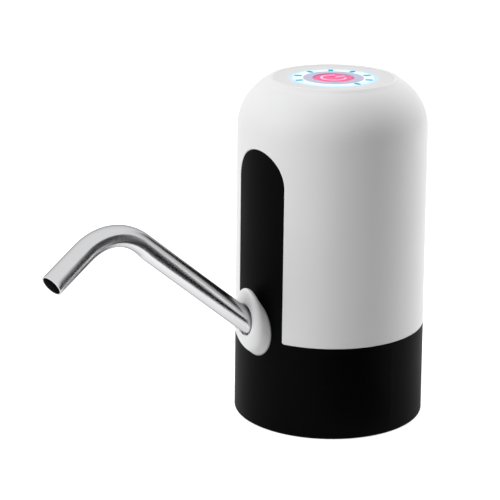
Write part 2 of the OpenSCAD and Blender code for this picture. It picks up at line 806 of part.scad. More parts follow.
module pump_cover() color("#2c2f33") difference() {
    union() {
        translate([0, 0, pump_z]) linear_extrude(cover_t) pump_outline();
        translate([0, inlet_y, pump_z]) rotate([180, 0, 0]) barb(barb_h);
    }
    translate([0, inlet_y, pump_z - barb_h - cut]) cylinder(r = way_r, h = body_h);
    translate([-pitch_r, pump_y, gasket_z - pin_seat]) cylinder(r = shaft_r + run_gap, h = cover_t);
    translate([pitch_r, pump_y, gasket_z - pin_seat]) cylinder(r = pin_r, h = cover_t);
    at_lugs() translate([0, 0, pump_z - cut]) screw_hole(cover_t + 2 * cut);
}

module pump_gasket() color("#b03030") translate([0, 0, gasket_z]) linear_extrude(pump_gasket_t) difference() {
    pump_outline();
    chamber_outline();
    at_lugs() circle(r = screw_r + seat_gap);
}

module pump_body() color("#2c2f33") difference() {
    union() {
        translate([0, 0, chamber_z]) linear_extrude(motor_z - chamber_z) pump_outline();
        translate([0, pump_y - pump_r + cut, outlet_z]) rotate([90, 0, 0]) barb(barb_h + cut);
        for (back = [-1, 1]) translate([-pitch_r, pump_y + back * motor_hole_off, chamber_top])
            cylinder(r = lug_r, h = pump_top_t);
    }
    translate([0, 0, chamber_z - cut]) linear_extrude(chamber_top - chamber_z + cut) chamber_outline();
    translate([0, outlet_y, outlet_z]) rotate([90, 0, 0]) cylinder(r = way_r, h = body_d);
    translate([-pitch_r, pump_y, chamber_top - cut]) cylinder(r = shaft_r + 3 * run_gap, h = body_h);
    translate([-pitch_r, pump_y, motor_z - nose_h - pump_seal_h]) cylinder(r = nose_r + seat_gap, h = body_h);
    translate([pitch_r, pump_y, chamber_top - cut]) cylinder(r = pin_r, h = cut + pump_top_t / 2);
    at_lugs() translate([0, 0, chamber_z - cut]) screw_hole(cut + pump_bite + tip_room);
    for (back = [-1, 1]) translate([-pitch_r, pump_y + back * motor_hole_off, 0]) {
        screw_hole(body_h);
        cylinder(r = head_r + seat_gap, h = chamber_top);
    }
}

module pump_screws() color("silver") at_lugs() translate([0, 0, pump_z])
    screw(cover_t + pump_gasket_t + pump_bite);

// Involute tooth flank: angle from the tooth's middle at radius r
function involute(angle) = tan(angle) * 180 / PI - angle;
function half_tooth(r) = (PI * gear_module / 2 - gear_play) / 2 / pitch_r * 180 / PI
    + involute(gear_angle) - involute(acos(min(1, pitch_r * cos(gear_angle) / r)));

module gear(bore_r) {
    base_r = pitch_r * cos(gear_angle);
    flank_steps = 5;
    flank = [for (i = [0:flank_steps]) base_r + (tip_r - base_r) * i / flank_steps];
    outline = [for (tooth = [0:gear_teeth - 1]) let(mid = tooth * 360 / gear_teeth) each concat(
        [root_r * [cos(mid - half_tooth(base_r)), sin(mid - half_tooth(base_r))]],
        [for (r = flank) r * [cos(mid - half_tooth(r)), sin(mid - half_tooth(r))]],
        [for (i = [flank_steps:-1:0]) let(r = flank[i])
            r * [cos(mid + half_tooth(r)), sin(mid + half_tooth(r))]],
        [root_r * [cos(mid + half_tooth(base_r)), sin(mid + half_tooth(base_r))]])];
    difference() {
        translate([0, 0, gasket_z + gear_gap]) linear_extrude(gear_w) polygon(outline);
        translate([0, 0, gasket_z - cut]) cylinder(r = bore_r, h = gear_w + 3 * cut);
    }
}

module drive_gear() color("#e8e4d8") translate([-pitch_r, pump_y, 0]) gear(shaft_r);

module idler_gear() color("#e8e4d8") translate([pitch_r, pump_y, 0]) rotate(180 / gear_teeth)
    gear(pin_r + run_gap);

module idler_pin() color("silver") translate([pitch_r, pump_y, gasket_z - pin_seat])
    cylinder(r = pin_r, h = chamber_top + pump_top_t / 2 - gasket_z + pin_seat);

module shaft_seal() color("#303030") at_motor() translate([0, 0, motor_z - nose_h - pump_seal_h])
difference() {
    cylinder(r = nose_r, h = pump_seal_h - seat_gap);
    translate([0, 0, -cut]) cylinder(r = shaft_r + run_gap, h = pump_seal_h + 2 * cut);
}

module at_motor() translate([-pitch_r, pump_y, 0]) children();

module motor_can() color("#b8bcc2") at_motor() difference() {
    union() {
        translate([0, 0, motor_z]) cylinder(r = motor_r, h = can_h);
        translate([0, 0, motor_z - nose_h]) cylinder(r = nose_r, h = nose_h + cut);
    }
    difference() {
        translate([0, 0, motor_z + can_wall]) cylinder(r = can_in_r, h = can_h);
        translate([0, 0, motor_z]) cylinder(r = nose_r, h = boss_h);
    }
    translate([0, 0, motor_z - nose_h - cut]) cylinder(r = bush_r, h = can_h);
    for (back = [-1, 1]) translate([0, back * motor_hole_off, motor_z - cut]) screw_hole(2 * cut + can_wall);
}

module motor_end_cap() color("#202024") at_motor() difference() {
    union() {
        translate([0, 0, can_top]) cylinder(r = motor_r, h = cap_h);
        translate([0, 0, can_top - cap_in]) cylinder(r = can_in_r - seat_gap, h = cap_in + cut);
    }
    difference() {
        translate([0, 0, can_top - cap_in - cut])
            cylinder(r = can_in_r - cap_wall, h = cap_in + cut + cap_h - cap_roof);
        translate([0, 0, cap_boss_z]) cylinder(r = bush_r + cap_boss_wall, h = cap_h);
    }
    translate([0, 0, can_top]) cylinder(r = bush_r, h = cap_h - bore_cover);
    for (side = [-1, 1]) translate([side * terminal_x, 0, motor_top])
        cube([terminal_t + 2 * seat_gap, terminal_w + 2 * seat_gap, 4 * cap_roof], center = true);
}

module motor_magnets() color("#3c3c40") at_motor() for (side = [0, 180]) rotate(side + 90 - magnet_angle / 2)
    translate([0, 0, stack_z - magnet_over]) rotate_extrude(angle = magnet_angle)
        translate([magnet_in_r, 0]) square([can_in_r - magnet_in_r, stack_h + 2 * magnet_over]);

module motor_bushes() color("#c8963c") at_motor() {
    translate([0, 0, motor_z - nose_h + bush_short]) bush(nose_h + boss_h - 2 * bush_short);
    translate([0, 0, cap_boss_z]) bush(motor_top - bore_cover - bush_short - cap_boss_z);
}

module bush(length) difference() {
    cylinder(r = bush_r, h = length);
    translate([0, 0, -cut]) cylinder(r = bush_in_r, h = length + 2 * cut);
}

// Brush arms and the terminals that they end in
module motor_brushes() color("#c8963c") at_motor() for (side = [0, 180]) rotate(side) {
    end_x = terminal_x + terminal_t / 2;
    translate([brush_r, -terminal_w / 2, brush_z]) cube([end_x - brush_r, terminal_w, brush_t]);
    translate([end_x - terminal_t, -terminal_w / 2, brush_z])
        cube([terminal_t, terminal_w, motor_top + terminal_up - brush_z]);
}

module motor_armature() color("#8c9096") at_motor() translate([0, 0, stack_z]) linear_extrude(stack_h)
difference() {
    union() {
        circle(r = hub_r);
        for (pole = [0:2]) rotate(pole * 120) {
            translate([0, -pole_w / 2]) square([armature_r - shoe_t / 2, pole_w]);
            intersection() {
                difference() {
                    circle(r = armature_r);
                    circle(r = armature_r - shoe_t);
                }
                polygon([[0, 0], body_r * [1, -tan(shoe_angle / 2)], body_r * [1, tan(shoe_angle / 2)]]);
            }
        }
    }
    circle(r = shaft_r);
}

module motor_windings() color("#b4642c") at_motor() for (pole = [0:2]) rotate(pole * 120)
    translate([winding_x, 0, stack_z - winding_h]) difference() {
        translate([0, -winding_w / 2, 0]) cube([winding_l, winding_w, stack_h + 2 * winding_h]);
        translate([-cut, -pole_w / 2 - seat_gap, winding_h - seat_gap])
            cube([winding_l + 2 * cut, pole_w + 2 * seat_gap, stack_h + 2 * seat_gap]);
    }

module commutator() color("#c87f4a") at_motor() translate([0, 0, commutator_z]) difference() {
    cylinder(r = commutator_r, h = commutator_h);
    translate([0, 0, -cut]) cylinder(r = shaft_r, h = commutator_h + 2 * cut);
    for (slit = [0:2]) rotate(slit * 120 + 60) translate([commutator_r - slit_d, -slit_w / 2, -cut])
        cube([2 * slit_d, slit_w, commutator_h + 2 * cut]);
}

module motor_shaft() color("silver") at_motor() translate([0, 0, gasket_z - pin_seat + shaft_room])
    cylinder(r = shaft_r, h = motor_top - shaft_end - gasket_z + pin_seat - shaft_room);

module motor_screws() color("silver") at_motor() for (back = [-1, 1])
    translate([0, back * motor_hole_off, chamber_top]) screw(pump_top_t + motor_bite);

// Carrier that holds the cell in a cup and the motor in a ring
module inner_frame() color("#2a2a2e") difference() {
    intersection() {
        union() {
            translate([cell_x, cell_y, deck_top])
                cylinder(r = sleeve_r + frame_wall, h = clamp_top - deck_top);
            at_motor() translate([0, 0, clamp_z]) cylinder(r = motor_ring_r + frame_wall, h = clamp_h);
            translate([0, pump_y - web_w / 2, clamp_z]) cube([cell_x, web_w, clamp_h]);
            for (p = frame_ears) translate([0, 0, ear_z]) {
                translate([p.x, p.y, 0]) cylinder(r = post_r, h = ear_t);
                translate([p.x, p.y - ear_arm_w * (sign(p.y - cell_y) + 1) / 2, 0])
                    cube([cell_x - p.x, ear_arm_w, ear_t]);
            }
        }
        cylinder(r = frame_limit_r, h = body_h);
    }
    translate([cell_x, cell_y, deck_top + frame_wall]) cylinder(r = sleeve_r, h = body_h);
    at_motor() translate([0, 0, clamp_z - cut]) cylinder(r = motor_ring_r, h = body_h);
    translate([-body_r, -body_r, cup_top]) cube([body_r + cell_x - strip_w / 2, body_d, clamp_z - cup_top]);
    translate([cell_x + strip_w / 2, -body_r, cup_top]) cube([body_r, body_d, body_h]);
    translate([cell_x - tab_w / 2 - tab_room, cell_y, cell_z - tab_t])
        cube([tab_w + 2 * tab_room, body_r, tab_t + wire_d]);
    for (p = frame_ears) translate([p.x, p.y, ear_z - cut]) screw_hole(ear_t + 2 * cut);
}

module frame_screws() color("silver") for (p = frame_ears) translate([p.x, p.y, ear_z + ear_t])
    rotate([180, 0, 0]) screw(ear_t + ear_bite);

module battery_cell() color("#2f7fb8") translate([cell_x, cell_y, cell_z]) cylinder(r = cell_r, h = cell_h);

// Welded strips: one on top, one that leaves the cup at the back
module battery_tabs() color("#c9ccd0") {
    translate([cell_x + tab_w / 2 - top_tab.x, cell_y - tab_w / 2, cell_top])
        cube([top_tab.x, top_tab.y, tab_t]);
    translate([cell_x - tab_w / 2, low_tab_end - low_tab_l, cell_z - tab_t]) cube([tab_w, low_tab_l, tab_t]);
}

module main_board() color("#1d6b45") difference() {
    translate([0, 0, board_z]) linear_extrude(board_t) {
        translate([-board_w / 2, board_y]) square([board_w, board_shoulder_y - board_y]);
        translate([-usb_w / 2 - usb_side, board_shoulder_y - cut])
            square([usb_w + 2 * usb_side, board_end_y - board_shoulder_y + cut]);
    }
    for (p = board_posts) translate([p.x, p.y, board_z - cut]) screw_hole(board_t + 2 * cut);
}

module board_parts() color("#26262a") translate([0, board_y, board_top]) {
    translate(chip_at) cube(chip_size);
    translate(coil_at) cube(coil_size);
    translate(capacitor_at) cylinder(r = capacitor_r, h = capacitor_h);
    translate(resistor_at) cube(resistor_size);
}

// Rounded outline of the charging socket, spread by gap
module usb_outline(gap) {
    w = usb_w + 2 * gap;
    h = usb_h + 2 * gap;
    square([w - 2 * usb_round, h], center = true);
    square([w, h - 2 * usb_round], center = true);
    for (x = [-1, 1], y = [-1, 1]) translate([x * (w / 2 - usb_round), y * (h / 2 - usb_round)])
        circle(r = usb_round);
}

// Places children at the socket's mouth, looking in
module at_usb() translate([0, usb_face_y, board_top + usb_h / 2]) rotate([90, 0, 0]) children();

module usb_port() color("silver") at_usb() difference() {
    linear_extrude(usb_l) usb_outline(0);
    translate([0, 0, -cut]) linear_extrude(usb_l - usb_skin + cut) usb_outline(-usb_skin);
}

module usb_tongue() color("#202020") at_usb()
    translate([-tongue.x / 2, -tongue.y / 2, usb_l - usb_skin - tongue.z]) cube(tongue);

module main_board_screws() color("silver") for (p = board_posts) translate([p.x, p.y, board_top])
    rotate([180, 0, 0]) screw(board_t + board_bite);

module control_board() color("#1d6b45") difference() {
    translate([0, 0, control_z]) cylinder(r = control_r, h = board_t);
    at_control_posts() translate([0, 0, control_z - cut]) screw_hole(board_t + 2 * cut);
}

module at_marks() for (i = [0:mark_count - 1]) rotate(mark_turn + i * mark_step)
    translate([mark_r, 0, 0]) children();

module status_leds() color("#f4f0d8") at_marks() translate([-led_w / 2, -led_w / 2, control_top])
    cube([led_w, led_w, led_h]);

module tact_switch() color("#303034") translate([0, 0, control_top]) difference() {
    translate([-switch_w / 2, -switch_w / 2, 0]) cube([switch_w, switch_w, switch_h]);
    translate([0, 0, switch_h - plunger_in - button_travel - led_gap])
        cylinder(r = plunger_r + plunger_gap, h = switch_h);
}

module switch_plunger() color("#101012") translate([0, 0, plunger_top - plunger_h - plunger_in])
    cylinder(r = plunger_r, h = plunger_h + plunger_in);

module control_board_screws() color("silver") at_control_posts() translate([0, 0, control_z])
    screw(board_t + control_bite);

// Dash shape with round ends
module dash() {
    run = (mark_l - mark_w) / 2;
    square([2 * run, mark_w], center = true);
    for (end = [-1, 1]) translate([end * run, 0]) circle(d = mark_w);
}

module light_ring() color("#e6fafd") difference() {
    rotate_extrude() {
        translate([ring_in_r, ring_z]) square([ring_out_r - ring_in_r, dish_z - ring_z]);
        translate([ring_in_r, ring_z]) square([ring_out_r + ring_lip - ring_in_r, lip_t]);
        translate([ring_in_r + guide_in, control_top + led_h + led_gap])
            square([guide_w, ring_z - control_top - led_h - led_gap + lip_t / 2]);
    }
    at_marks() translate([0, 0, dish_z - mark_d]) linear_extrude(cut) dash();
}

module light_marks() color("#3cbce1") at_marks() translate([0, 0, dish_z - mark_d])
    linear_extrude(mark_d + mark_proud) dash();

module button_bezel() color("#c8c6d6") rotate_extrude() {
    hole_r = button_r + button_gap;
    translate([hole_r, bezel_z]) square([ring_in_r - seat_gap - hole_r, dish_z + bezel_proud - bezel_z]);
    translate([hole_r, bezel_z]) square([ring_in_r + bezel_lip - hole_r, bezel_lip_t]);
}

module button_cap() color("#fa75a7") {
    top = dish_z + button_rise;
    crown_r = 120;
    rotate_extrude() {
        intersection() {
            translate([0, button_z]) square([button_r, top - button_z]);
            translate([0, top - crown_r]) circle(r = crown_r, $fn = 180);
        }
        translate([0, button_z]) square([button_r + button_gap + button_lip, button_lip_t]);
        translate([0, button_z - stem_h]) square([stem_foot_r, stem_h + button_lip_t]);
    }
}

module battery_leads() color("#b02020") {
    wire(cell_wire_top);
    wire(cell_wire_low);
}

module motor_leads() color("#c03030") at_motor_wires();

module at_motor_wires() {
    shift = [-pitch_r, pump_y, 0];
    for (route = [motor_wire_l, motor_wire_r])
        wire([for (i = [0:len(route) - 1]) i < 2 ? route[i] + shift : route[i]]);
}

module control_lead() color("#d8d8d8") for (k = [-1:1]) translate([k * control_wire_step, 0, 0])
    wire(control_wire);

upper_shell();
base_housing();
neck_grip();
neck_gasket();
inlet_fitting();
inlet_seal();
inlet_hose();
outlet_hose();
outlet_elbow();
spout_collar();
spout_seal();
spout_tube();
pump_cover();
pump_gasket();
pump_body();
pump_screws();
drive_gear();
idler_gear();
idler_pin();
shaft_seal();
motor_can();
motor_end_cap();
motor_magnets();
motor_bushes();
motor_brushes();
motor_armature();
motor_windings();
commutator();
motor_shaft();
motor_screws();
inner_frame();
frame_screws();
battery_cell();
battery_tabs();
main_board();
board_parts();
usb_port();
usb_tongue();
main_board_screws();
control_board();
status_leds();
tact_switch();
switch_plunger();
control_board_screws();
light_ring();
light_marks();
button_bezel();
button_cap();
battery_leads();
motor_leads();
control_lead();
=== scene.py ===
# %% [markdown]
# # Dressing a water jug pump
# The part comes from CAD as plain solids: a white dome on a black base, a bent steel spout and a lit push
# button. This lesson gives it its looks. The pieces that catch the eye are modelled again as smooth
# meshes with soft edges, and every other solid keeps its shape and gets a finish made from nodes. Loading
# the frame first matters, because each new piece takes its place from the solid that it stands for.

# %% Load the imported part
import json
import math

import bpy
from mathutils import Matrix, Vector
from mathutils.geometry import delaunay_2d_cdt

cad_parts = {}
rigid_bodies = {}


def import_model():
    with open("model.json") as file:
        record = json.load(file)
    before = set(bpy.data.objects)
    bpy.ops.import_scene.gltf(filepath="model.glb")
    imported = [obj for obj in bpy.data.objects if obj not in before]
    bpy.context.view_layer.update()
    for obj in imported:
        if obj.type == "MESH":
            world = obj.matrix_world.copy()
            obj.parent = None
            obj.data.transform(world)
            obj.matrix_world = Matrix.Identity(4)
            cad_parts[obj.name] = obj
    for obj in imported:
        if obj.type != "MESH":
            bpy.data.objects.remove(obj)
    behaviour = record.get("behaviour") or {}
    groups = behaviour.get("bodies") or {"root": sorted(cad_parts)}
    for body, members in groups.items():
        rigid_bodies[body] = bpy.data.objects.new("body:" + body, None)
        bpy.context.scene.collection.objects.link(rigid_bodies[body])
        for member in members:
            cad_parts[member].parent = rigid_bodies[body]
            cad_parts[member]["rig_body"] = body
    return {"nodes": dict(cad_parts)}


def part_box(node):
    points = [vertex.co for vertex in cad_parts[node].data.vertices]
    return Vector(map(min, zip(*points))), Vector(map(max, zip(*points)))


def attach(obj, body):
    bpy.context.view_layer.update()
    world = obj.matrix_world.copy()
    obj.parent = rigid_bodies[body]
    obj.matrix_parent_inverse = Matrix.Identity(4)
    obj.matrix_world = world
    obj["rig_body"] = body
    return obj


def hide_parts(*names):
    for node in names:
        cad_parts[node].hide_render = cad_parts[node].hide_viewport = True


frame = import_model()
nodes = frame["nodes"]
scene = bpy.context.scene
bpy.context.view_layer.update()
mm = 0.001

# %% [markdown]
# ## The view
# The photograph looks down at the pump from its right front through a long lens, so upright edges stay
# nearly parallel. A camera could be aimed with a constraint. Three turns in a row are easier to read:
# tilt, swing round the pump and a very small roll. The same swing places the lamps later, so that left
# and right mean the picture's.

# %% Camera
VIEW_SWING = math.radians(52)
VIEW_TILT = math.radians(72.93)
VIEW_ROLL = math.radians(0.31)
CAMERA_PLACE = (-30.3 * mm, -670 * mm, 267.8 * mm)
CAMERA_LENS = 133.6
SENSOR_WIDTH = 36
CLIP_START = 10 * mm
studio = Matrix.Rotation(VIEW_SWING, 4, "Z")

camera = bpy.data.objects.new("camera", bpy.data.cameras.new("camera"))
camera.data.lens = CAMERA_LENS
camera.data.sensor_width = SENSOR_WIDTH
camera.data.clip_start = CLIP_START
camera.matrix_world = (
    studio
    @ Matrix.Translation(CAMERA_PLACE)
    @ Matrix.Rotation(VIEW_TILT, 4, "X")
    @ Matrix.Rotation(VIEW_ROLL, 4, "Z")
)
scene.collection.objects.link(camera)
scene.camera = camera
scene.view_settings.view_transform = "Standard"
print("camera at", [round(v, 3) for v in camera.matrix_world.translation])

# %% [markdown]
# ## Mesh helper
# Every smooth piece here is woven from rows of points: a lathe is rows of rings, a tube is rings along a
# path. The helper keeps one list of points, joins a repeated point to the first one, and knits
# neighbouring rows into quads. Blender's Screw and Skin modifiers could do parts of this, but rows give
# even quads and exact edges.


# %% Skin of woven rows
class Skin:
    """Points and faces of one piece. A point given twice is one point."""

    weld = 1e-7

    def __init__(self):
        self.points = []
        self.faces = []
        self.known = {}
        self.normals = {}

    def point(self, place, normal=None):
        """Number of the point at that place, with a shading normal of its own if one is given."""
        key = tuple(round(v / self.weld) for v in place)
        if key not in self.known:
            self.known[key] = len(self.points)
            self.points.append(tuple(place))
        if normal is not None:
            self.normals[self.known[key]] = normal
        return self.known[key]

    def knit(self, rows, ring=True, loop=False):
        """Quads between each row and the next. ring closes each row, loop joins the last to the first."""
        pairs = list(zip(rows, rows[1:]))
        if loop:
            pairs.append((rows[-1], rows[0]))
        for low, high in pairs:
            count = len(low)
            for k in range(count if ring else count - 1):
                j = (k + 1) % count
                self.faces.append((low[k], low[j], high[j], high[k]))

    def piece(self, name):
        """The finished mesh as an object in the scene."""
        mesh = bpy.data.meshes.new(name)
        mesh.from_pydata(self.points, [], self.faces)
        mesh.validate()
        for face in mesh.polygons:
            face.use_smooth = True
        if self.normals:
            mesh.normals_split_custom_set_from_vertices(
                [self.normals.get(v.index, v.normal) for v in mesh.vertices]
            )
        obj = bpy.data.objects.new(name, mesh)
        scene.collection.objects.link(obj)
        print(name, "has", len(mesh.vertices), "points and", len(mesh.polygons), "faces")
        return obj


def stand_for(obj, node, slot):
    """The piece takes the node's place and moves with the node's body."""
    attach(obj, nodes[node]["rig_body"])
    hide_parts(node)
    obj.data.materials.append(bpy.data.materials[slot])


# %% [markdown]
# ## Finishes
# A moulded plastic is never one flat colour. The tool that shaped it leaves a fine grain, and the gloss
# changes a little over the surface. One function builds that from two noise textures: a fine one for the
# grain's bump, a broad one for the change of tone. Image textures could do it as well, but noise in
# object space has no seams and keeps its real scale in millimetres.

# %% Finish of moulded plastic, rubber and metal
NOISE_LOW = 0.3
NOISE_HIGH = 0.7
FINE_DETAIL = 2
BROAD_DETAIL = 3
BROAD_SIZE = 30 * mm
GLOSS_CHANGE = 0.07
BUMP_SOFT = 0.4


def tone(colour, factor):
    """The colour, lighter or darker by a factor."""
    return tuple(min(1, c * factor) for c in colour) + (1,)


def noise(tree, scale, detail, vector):
    """Noise texture in the space of that vector."""
    texture = tree.nodes.new("ShaderNodeTexNoise")
    texture.inputs["Scale"].default_value = scale
    texture.inputs["Detail"].default_value = detail
    tree.links.new(vector, texture.inputs["Vector"])
    return texture.outputs["Fac"]


def spread(tree, factor, low, high):
    """Maps a noise, which stays near its middle, on to the range from low to high."""
    node = tree.nodes.new("ShaderNodeMapRange")
    node.inputs["From Min"].default_value = NOISE_LOW
    node.inputs["From Max"].default_value = NOISE_HIGH
    node.inputs["To Min"].default_value = low
    node.inputs["To Max"].default_value = high
    tree.links.new(factor, node.inputs["Value"])
    return node.outputs["Result"]


def two_tones(tree, factor, colour, amount):
    """Changes the colour with a factor, from a little darker to a little lighter."""
    mix = tree.nodes.new("ShaderNodeMix")
    mix.data_type = "RGBA"
    mix.inputs["A"].default_value = tone(colour, 1 - amount)
    mix.inputs["B"].default_value = tone(colour, 1 + amount)
    tree.links.new(factor, mix.inputs["Factor"])
    return mix.outputs["Result"]


def bumped(tree, height, depth):
    """Bump of that depth, softened as a moulded or brushed surface is."""
    bump = tree.nodes.new("ShaderNodeBump")
    bump.inputs["Distance"].default_value = depth
    bump.inputs["Strength"].default_value = BUMP_SOFT
    tree.links.new(height, bump.inputs["Height"])
    return bump.outputs["Normal"]


def new_finish(name):
    """Empty material with a shader and an output."""
    material = bpy.data.materials.get(name) or bpy.data.materials.new(name)
    material.use_nodes = True
    tree = material.node_tree
    tree.nodes.clear()
    shader = tree.nodes.new("ShaderNodeBsdfPrincipled")
    out = tree.nodes.new("ShaderNodeOutputMaterial")
    tree.links.new(shader.outputs["BSDF"], out.inputs["Surface"])
    return tree, shader


def grained(name, colour, rough, metal=0.0, grain=0.5 * mm, depth=0.01 * mm, mottle=0.03, **sockets):
    """Finish with a fine grain of that size and depth, and a broad change of tone."""
    tree, shader = new_finish(name)
    place = tree.nodes.new("ShaderNodeTexCoord").outputs["Object"]
    fine = noise(tree, 1 / grain, FINE_DETAIL, place)
    broad = noise(tree, 1 / BROAD_SIZE, BROAD_DETAIL, place)
    gloss = spread(tree, broad, rough * (1 - GLOSS_CHANGE), rough * (1 + GLOSS_CHANGE))
    tree.links.new(two_tones(tree, broad, colour, mottle), shader.inputs["Base Color"])
    tree.links.new(gloss, shader.inputs["Roughness"])
    tree.links.new(bumped(tree, fine, depth), shader.inputs["Normal"])
    shader.inputs["Metallic"].default_value = metal
    for socket, value in sockets.items():
        shader.inputs[socket.replace("_", " ")].default_value = value
    return tree, shader


# %% [markdown]
# The inside of the pump has a finish for each of the record's material slots. A table from the slot's
# name to a few numbers keeps them together: colour, roughness, and whether it is metal. The outer
# finishes have their own cells further down, beside the pieces that wear them.

# %% Finishes of the inner pieces
INNER_FINISHES = {
    "grip_silicone": ((0.045, 0.045, 0.048), 0.62, 0),
    "clear_silicone": ((0.66, 0.70, 0.68), 0.38, 0),
    "seal_red": ((0.42, 0.035, 0.03), 0.5, 0),
    "fitting_ivory": ((0.78, 0.74, 0.62), 0.42, 0),
    "pump_plastic": ((0.028, 0.032, 0.038), 0.4, 0),
    "gear_plastic": ((0.78, 0.75, 0.66), 0.36, 0),
    "shaft_rubber": ((0.03, 0.03, 0.03), 0.7, 0),
    "fastener_steel": ((0.62, 0.62, 0.60), 0.28, 1),
    "motor_steel": ((0.52, 0.54, 0.56), 0.32, 1),
    "magnet_ferrite": ((0.05, 0.05, 0.055), 0.6, 0),
    "copper": ((0.72, 0.36, 0.18), 0.3, 1),
    "cell_wrap": ((0.03, 0.2, 0.46), 0.35, 0),
    "tab_nickel": ((0.62, 0.6, 0.56), 0.3, 1),
    "circuit_board": ((0.012, 0.15, 0.06), 0.42, 0),
    "electronics": ((0.02, 0.02, 0.023), 0.45, 0),
    "lamp": ((0.85, 0.82, 0.6), 0.3, 0),
    "wire_red": ((0.45, 0.02, 0.02), 0.4, 0),
    "wire_white": ((0.72, 0.72, 0.7), 0.42, 0),
}
INNER_MOTTLE = 0.06
for slot_name, (colour, rough, metal) in INNER_FINISHES.items():
    grained(slot_name, colour, rough, metal, mottle=INNER_MOTTLE)
print("inner finishes:", len(INNER_FINISHES))

# %% [markdown]
# ## White shell
# The shell is one moulding: an almost straight wall, a broad shoulder and a shallow dish in the top, with
# a tall arched slot in its front and a small window for the charging socket in its back. A boolean would
# cut those holes, but it leaves long thin faces that spoil the shading of a glossy wall. Here the wall is
# unrolled flat, the holes are drawn on it, and a Delaunay triangulation fills what is left. Then every
# hole and the lower edge get a rounded hem, because a moulded edge is never sharp.

# %% Sizes of the shell
shell_low, shell_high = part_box("upper_shell")
FOOT_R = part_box("base_housing")[1].x
BODY_TOP = shell_high.z
SEAM_Z = shell_low.z
DRAFT = 0.7 * mm
SHOULDER_R = 19.9 * mm
RIM_R = 21.3 * mm
SHELL_WALL = 2.2 * mm
shoulder_c = FOOT_R - DRAFT - SHOULDER_R
shoulder_z = BODY_TOP - math.sqrt(SHOULDER_R**2 - (RIM_R - shoulder_c) ** 2)


def wall_r(z):
    """Outer radius of the body below the shoulder."""
    return FOOT_R - DRAFT * z / shoulder_z


def around(turn, r, z):
    """Point at an angle from the front, seen from above, at radius r and height z."""
    return (r * math.sin(turn), -r * math.cos(turn), z)


def even(first, last, count):
    """Evenly spaced values, both ends included."""
    return [first + (last - first) * k / (count - 1) for k in range(count)]


print("shoulder starts at", round(shoulder_z / mm, 2), "mm")


# %% Profile of the crown
def softened(corners, steps=6):
    """Outline through corners (r, z, round), each rounded by its own radius."""
    outline = []
    for k, (r, z, fillet) in enumerate(corners):
        here = Vector((r, z))
        if fillet == 0 or k in (0, len(corners) - 1):
            outline.append(here)
            continue
        back = (Vector(corners[k - 1][:2]) - here).normalized()
        on = (Vector(corners[k + 1][:2]) - here).normalized()
        half = back.angle(on) / 2
        middle = here + (back + on).normalized() * fillet / math.sin(half)
        start = here + back * fillet / math.tan(half) - middle
        swing = start.angle_signed(here + on * fillet / math.tan(half) - middle)
        outline += [middle + Matrix.Rotation(-swing * t, 2) @ start for t in even(0, 1, steps)]
    return outline


def shoulder(radius, first, last, count):
    """Arc of the shoulder's circle, or of one inside it, as profile points."""
    return [
        Vector((shoulder_c + radius * math.cos(a), shoulder_z + radius * math.sin(a)))
        for a in even(first, last, count)
    ]


DISH_DEPTH = 1.0 * mm
DISH_R = 22.2 * mm
CREST_R = 23.5 * mm
CREST_DROP = 0.35 * mm
ROOF_T = 1.7 * mm
RING_HOLE_R = 15.45 * mm
CREST_ROLL = 1.0 * mm
DISH_FILLET = 0.8 * mm
HOLE_EDGE = 0.15 * mm
CREST_RUN = 1.3 * mm
SHOULDER_STEPS = 30
INNER_STEPS = 16
SHOULDER_END = math.acos((CREST_R + CREST_RUN - shoulder_c) / SHOULDER_R)
dish_z = BODY_TOP - DISH_DEPTH
roof_z = dish_z - ROOF_T
rim_start = shoulder(SHOULDER_R, SHOULDER_END, SHOULDER_END, 2)[0]
top_outline = softened(
    [
        (rim_start.x, rim_start.y, 0),
        (CREST_R, BODY_TOP - CREST_DROP, CREST_ROLL),
        (DISH_R, dish_z, DISH_FILLET),
        (RING_HOLE_R, dish_z, HOLE_EDGE),
        (RING_HOLE_R, roof_z, 0),
    ]
)
inner_end = math.asin((roof_z - shoulder_z) / (SHOULDER_R - SHELL_WALL))
crown = (
    shoulder(SHOULDER_R, 0, SHOULDER_END, SHOULDER_STEPS)[:-1]
    + top_outline
    + shoulder(SHOULDER_R - SHELL_WALL, inner_end, 0, INNER_STEPS)
)
print("crown profile has", len(crown), "points, top at", round(max(p.y for p in crown) / mm, 2), "mm")

# %% Hems of the shell's holes
SLOT_W = 25.2 * mm
SLOT_TOP = 106.3 * mm
SLOT_CORNER = 0.9 * mm
HEM = 0.45 * mm
PORT_W = 8.1 * mm
PORT_H = 3.2 * mm
PORT_ROUND = 0.8 * mm
COLUMNS = 192
FRONT_COLUMNS = 16
BACK_COLUMNS = 8
CORNER_STEPS = 7
LEG_STEPS = 60
BOW_STEPS = 21
PORT_STEPS = 6
column_turn = [2 * math.pi * k / COLUMNS for k in range(COLUMNS)]
port_low, port_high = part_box("usb_port")
port_z = (port_low.z + port_high.z) / 2


def spot(x, z, side, up):
    """Place on the unrolled wall, with the way into the wall's material."""
    turn = math.asin(x / wall_r(z))
    return (turn, z, side / math.cos(turn), up)


def slot_hem():
    """From the left foot of the slot, over the arch, to its right foot."""
    half = SLOT_W / 2
    corner = half + SLOT_CORNER
    foot = [
        spot(
            -corner + SLOT_CORNER * math.sin(a),
            SEAM_Z + SLOT_CORNER * (1 - math.cos(a)),
            -math.sin(a),
            math.cos(a),
        )
        for a in even(0, math.pi / 2, CORNER_STEPS)
    ]
    leg_top = SLOT_TOP - half
    leg = [spot(-half, z, -1, 0) for z in even(SEAM_Z + SLOT_CORNER, leg_top, LEG_STEPS)[1:-1]]
    bow = [
        spot(half * math.cos(a), leg_top + half * math.sin(a), math.cos(a), math.sin(a))
        for a in even(math.pi, math.pi / 2, BOW_STEPS)
    ]
    left = foot + leg + bow
    right = [(-turn, z, -side, up) for turn, z, side, up in reversed(left[:-1])]
    return left + right


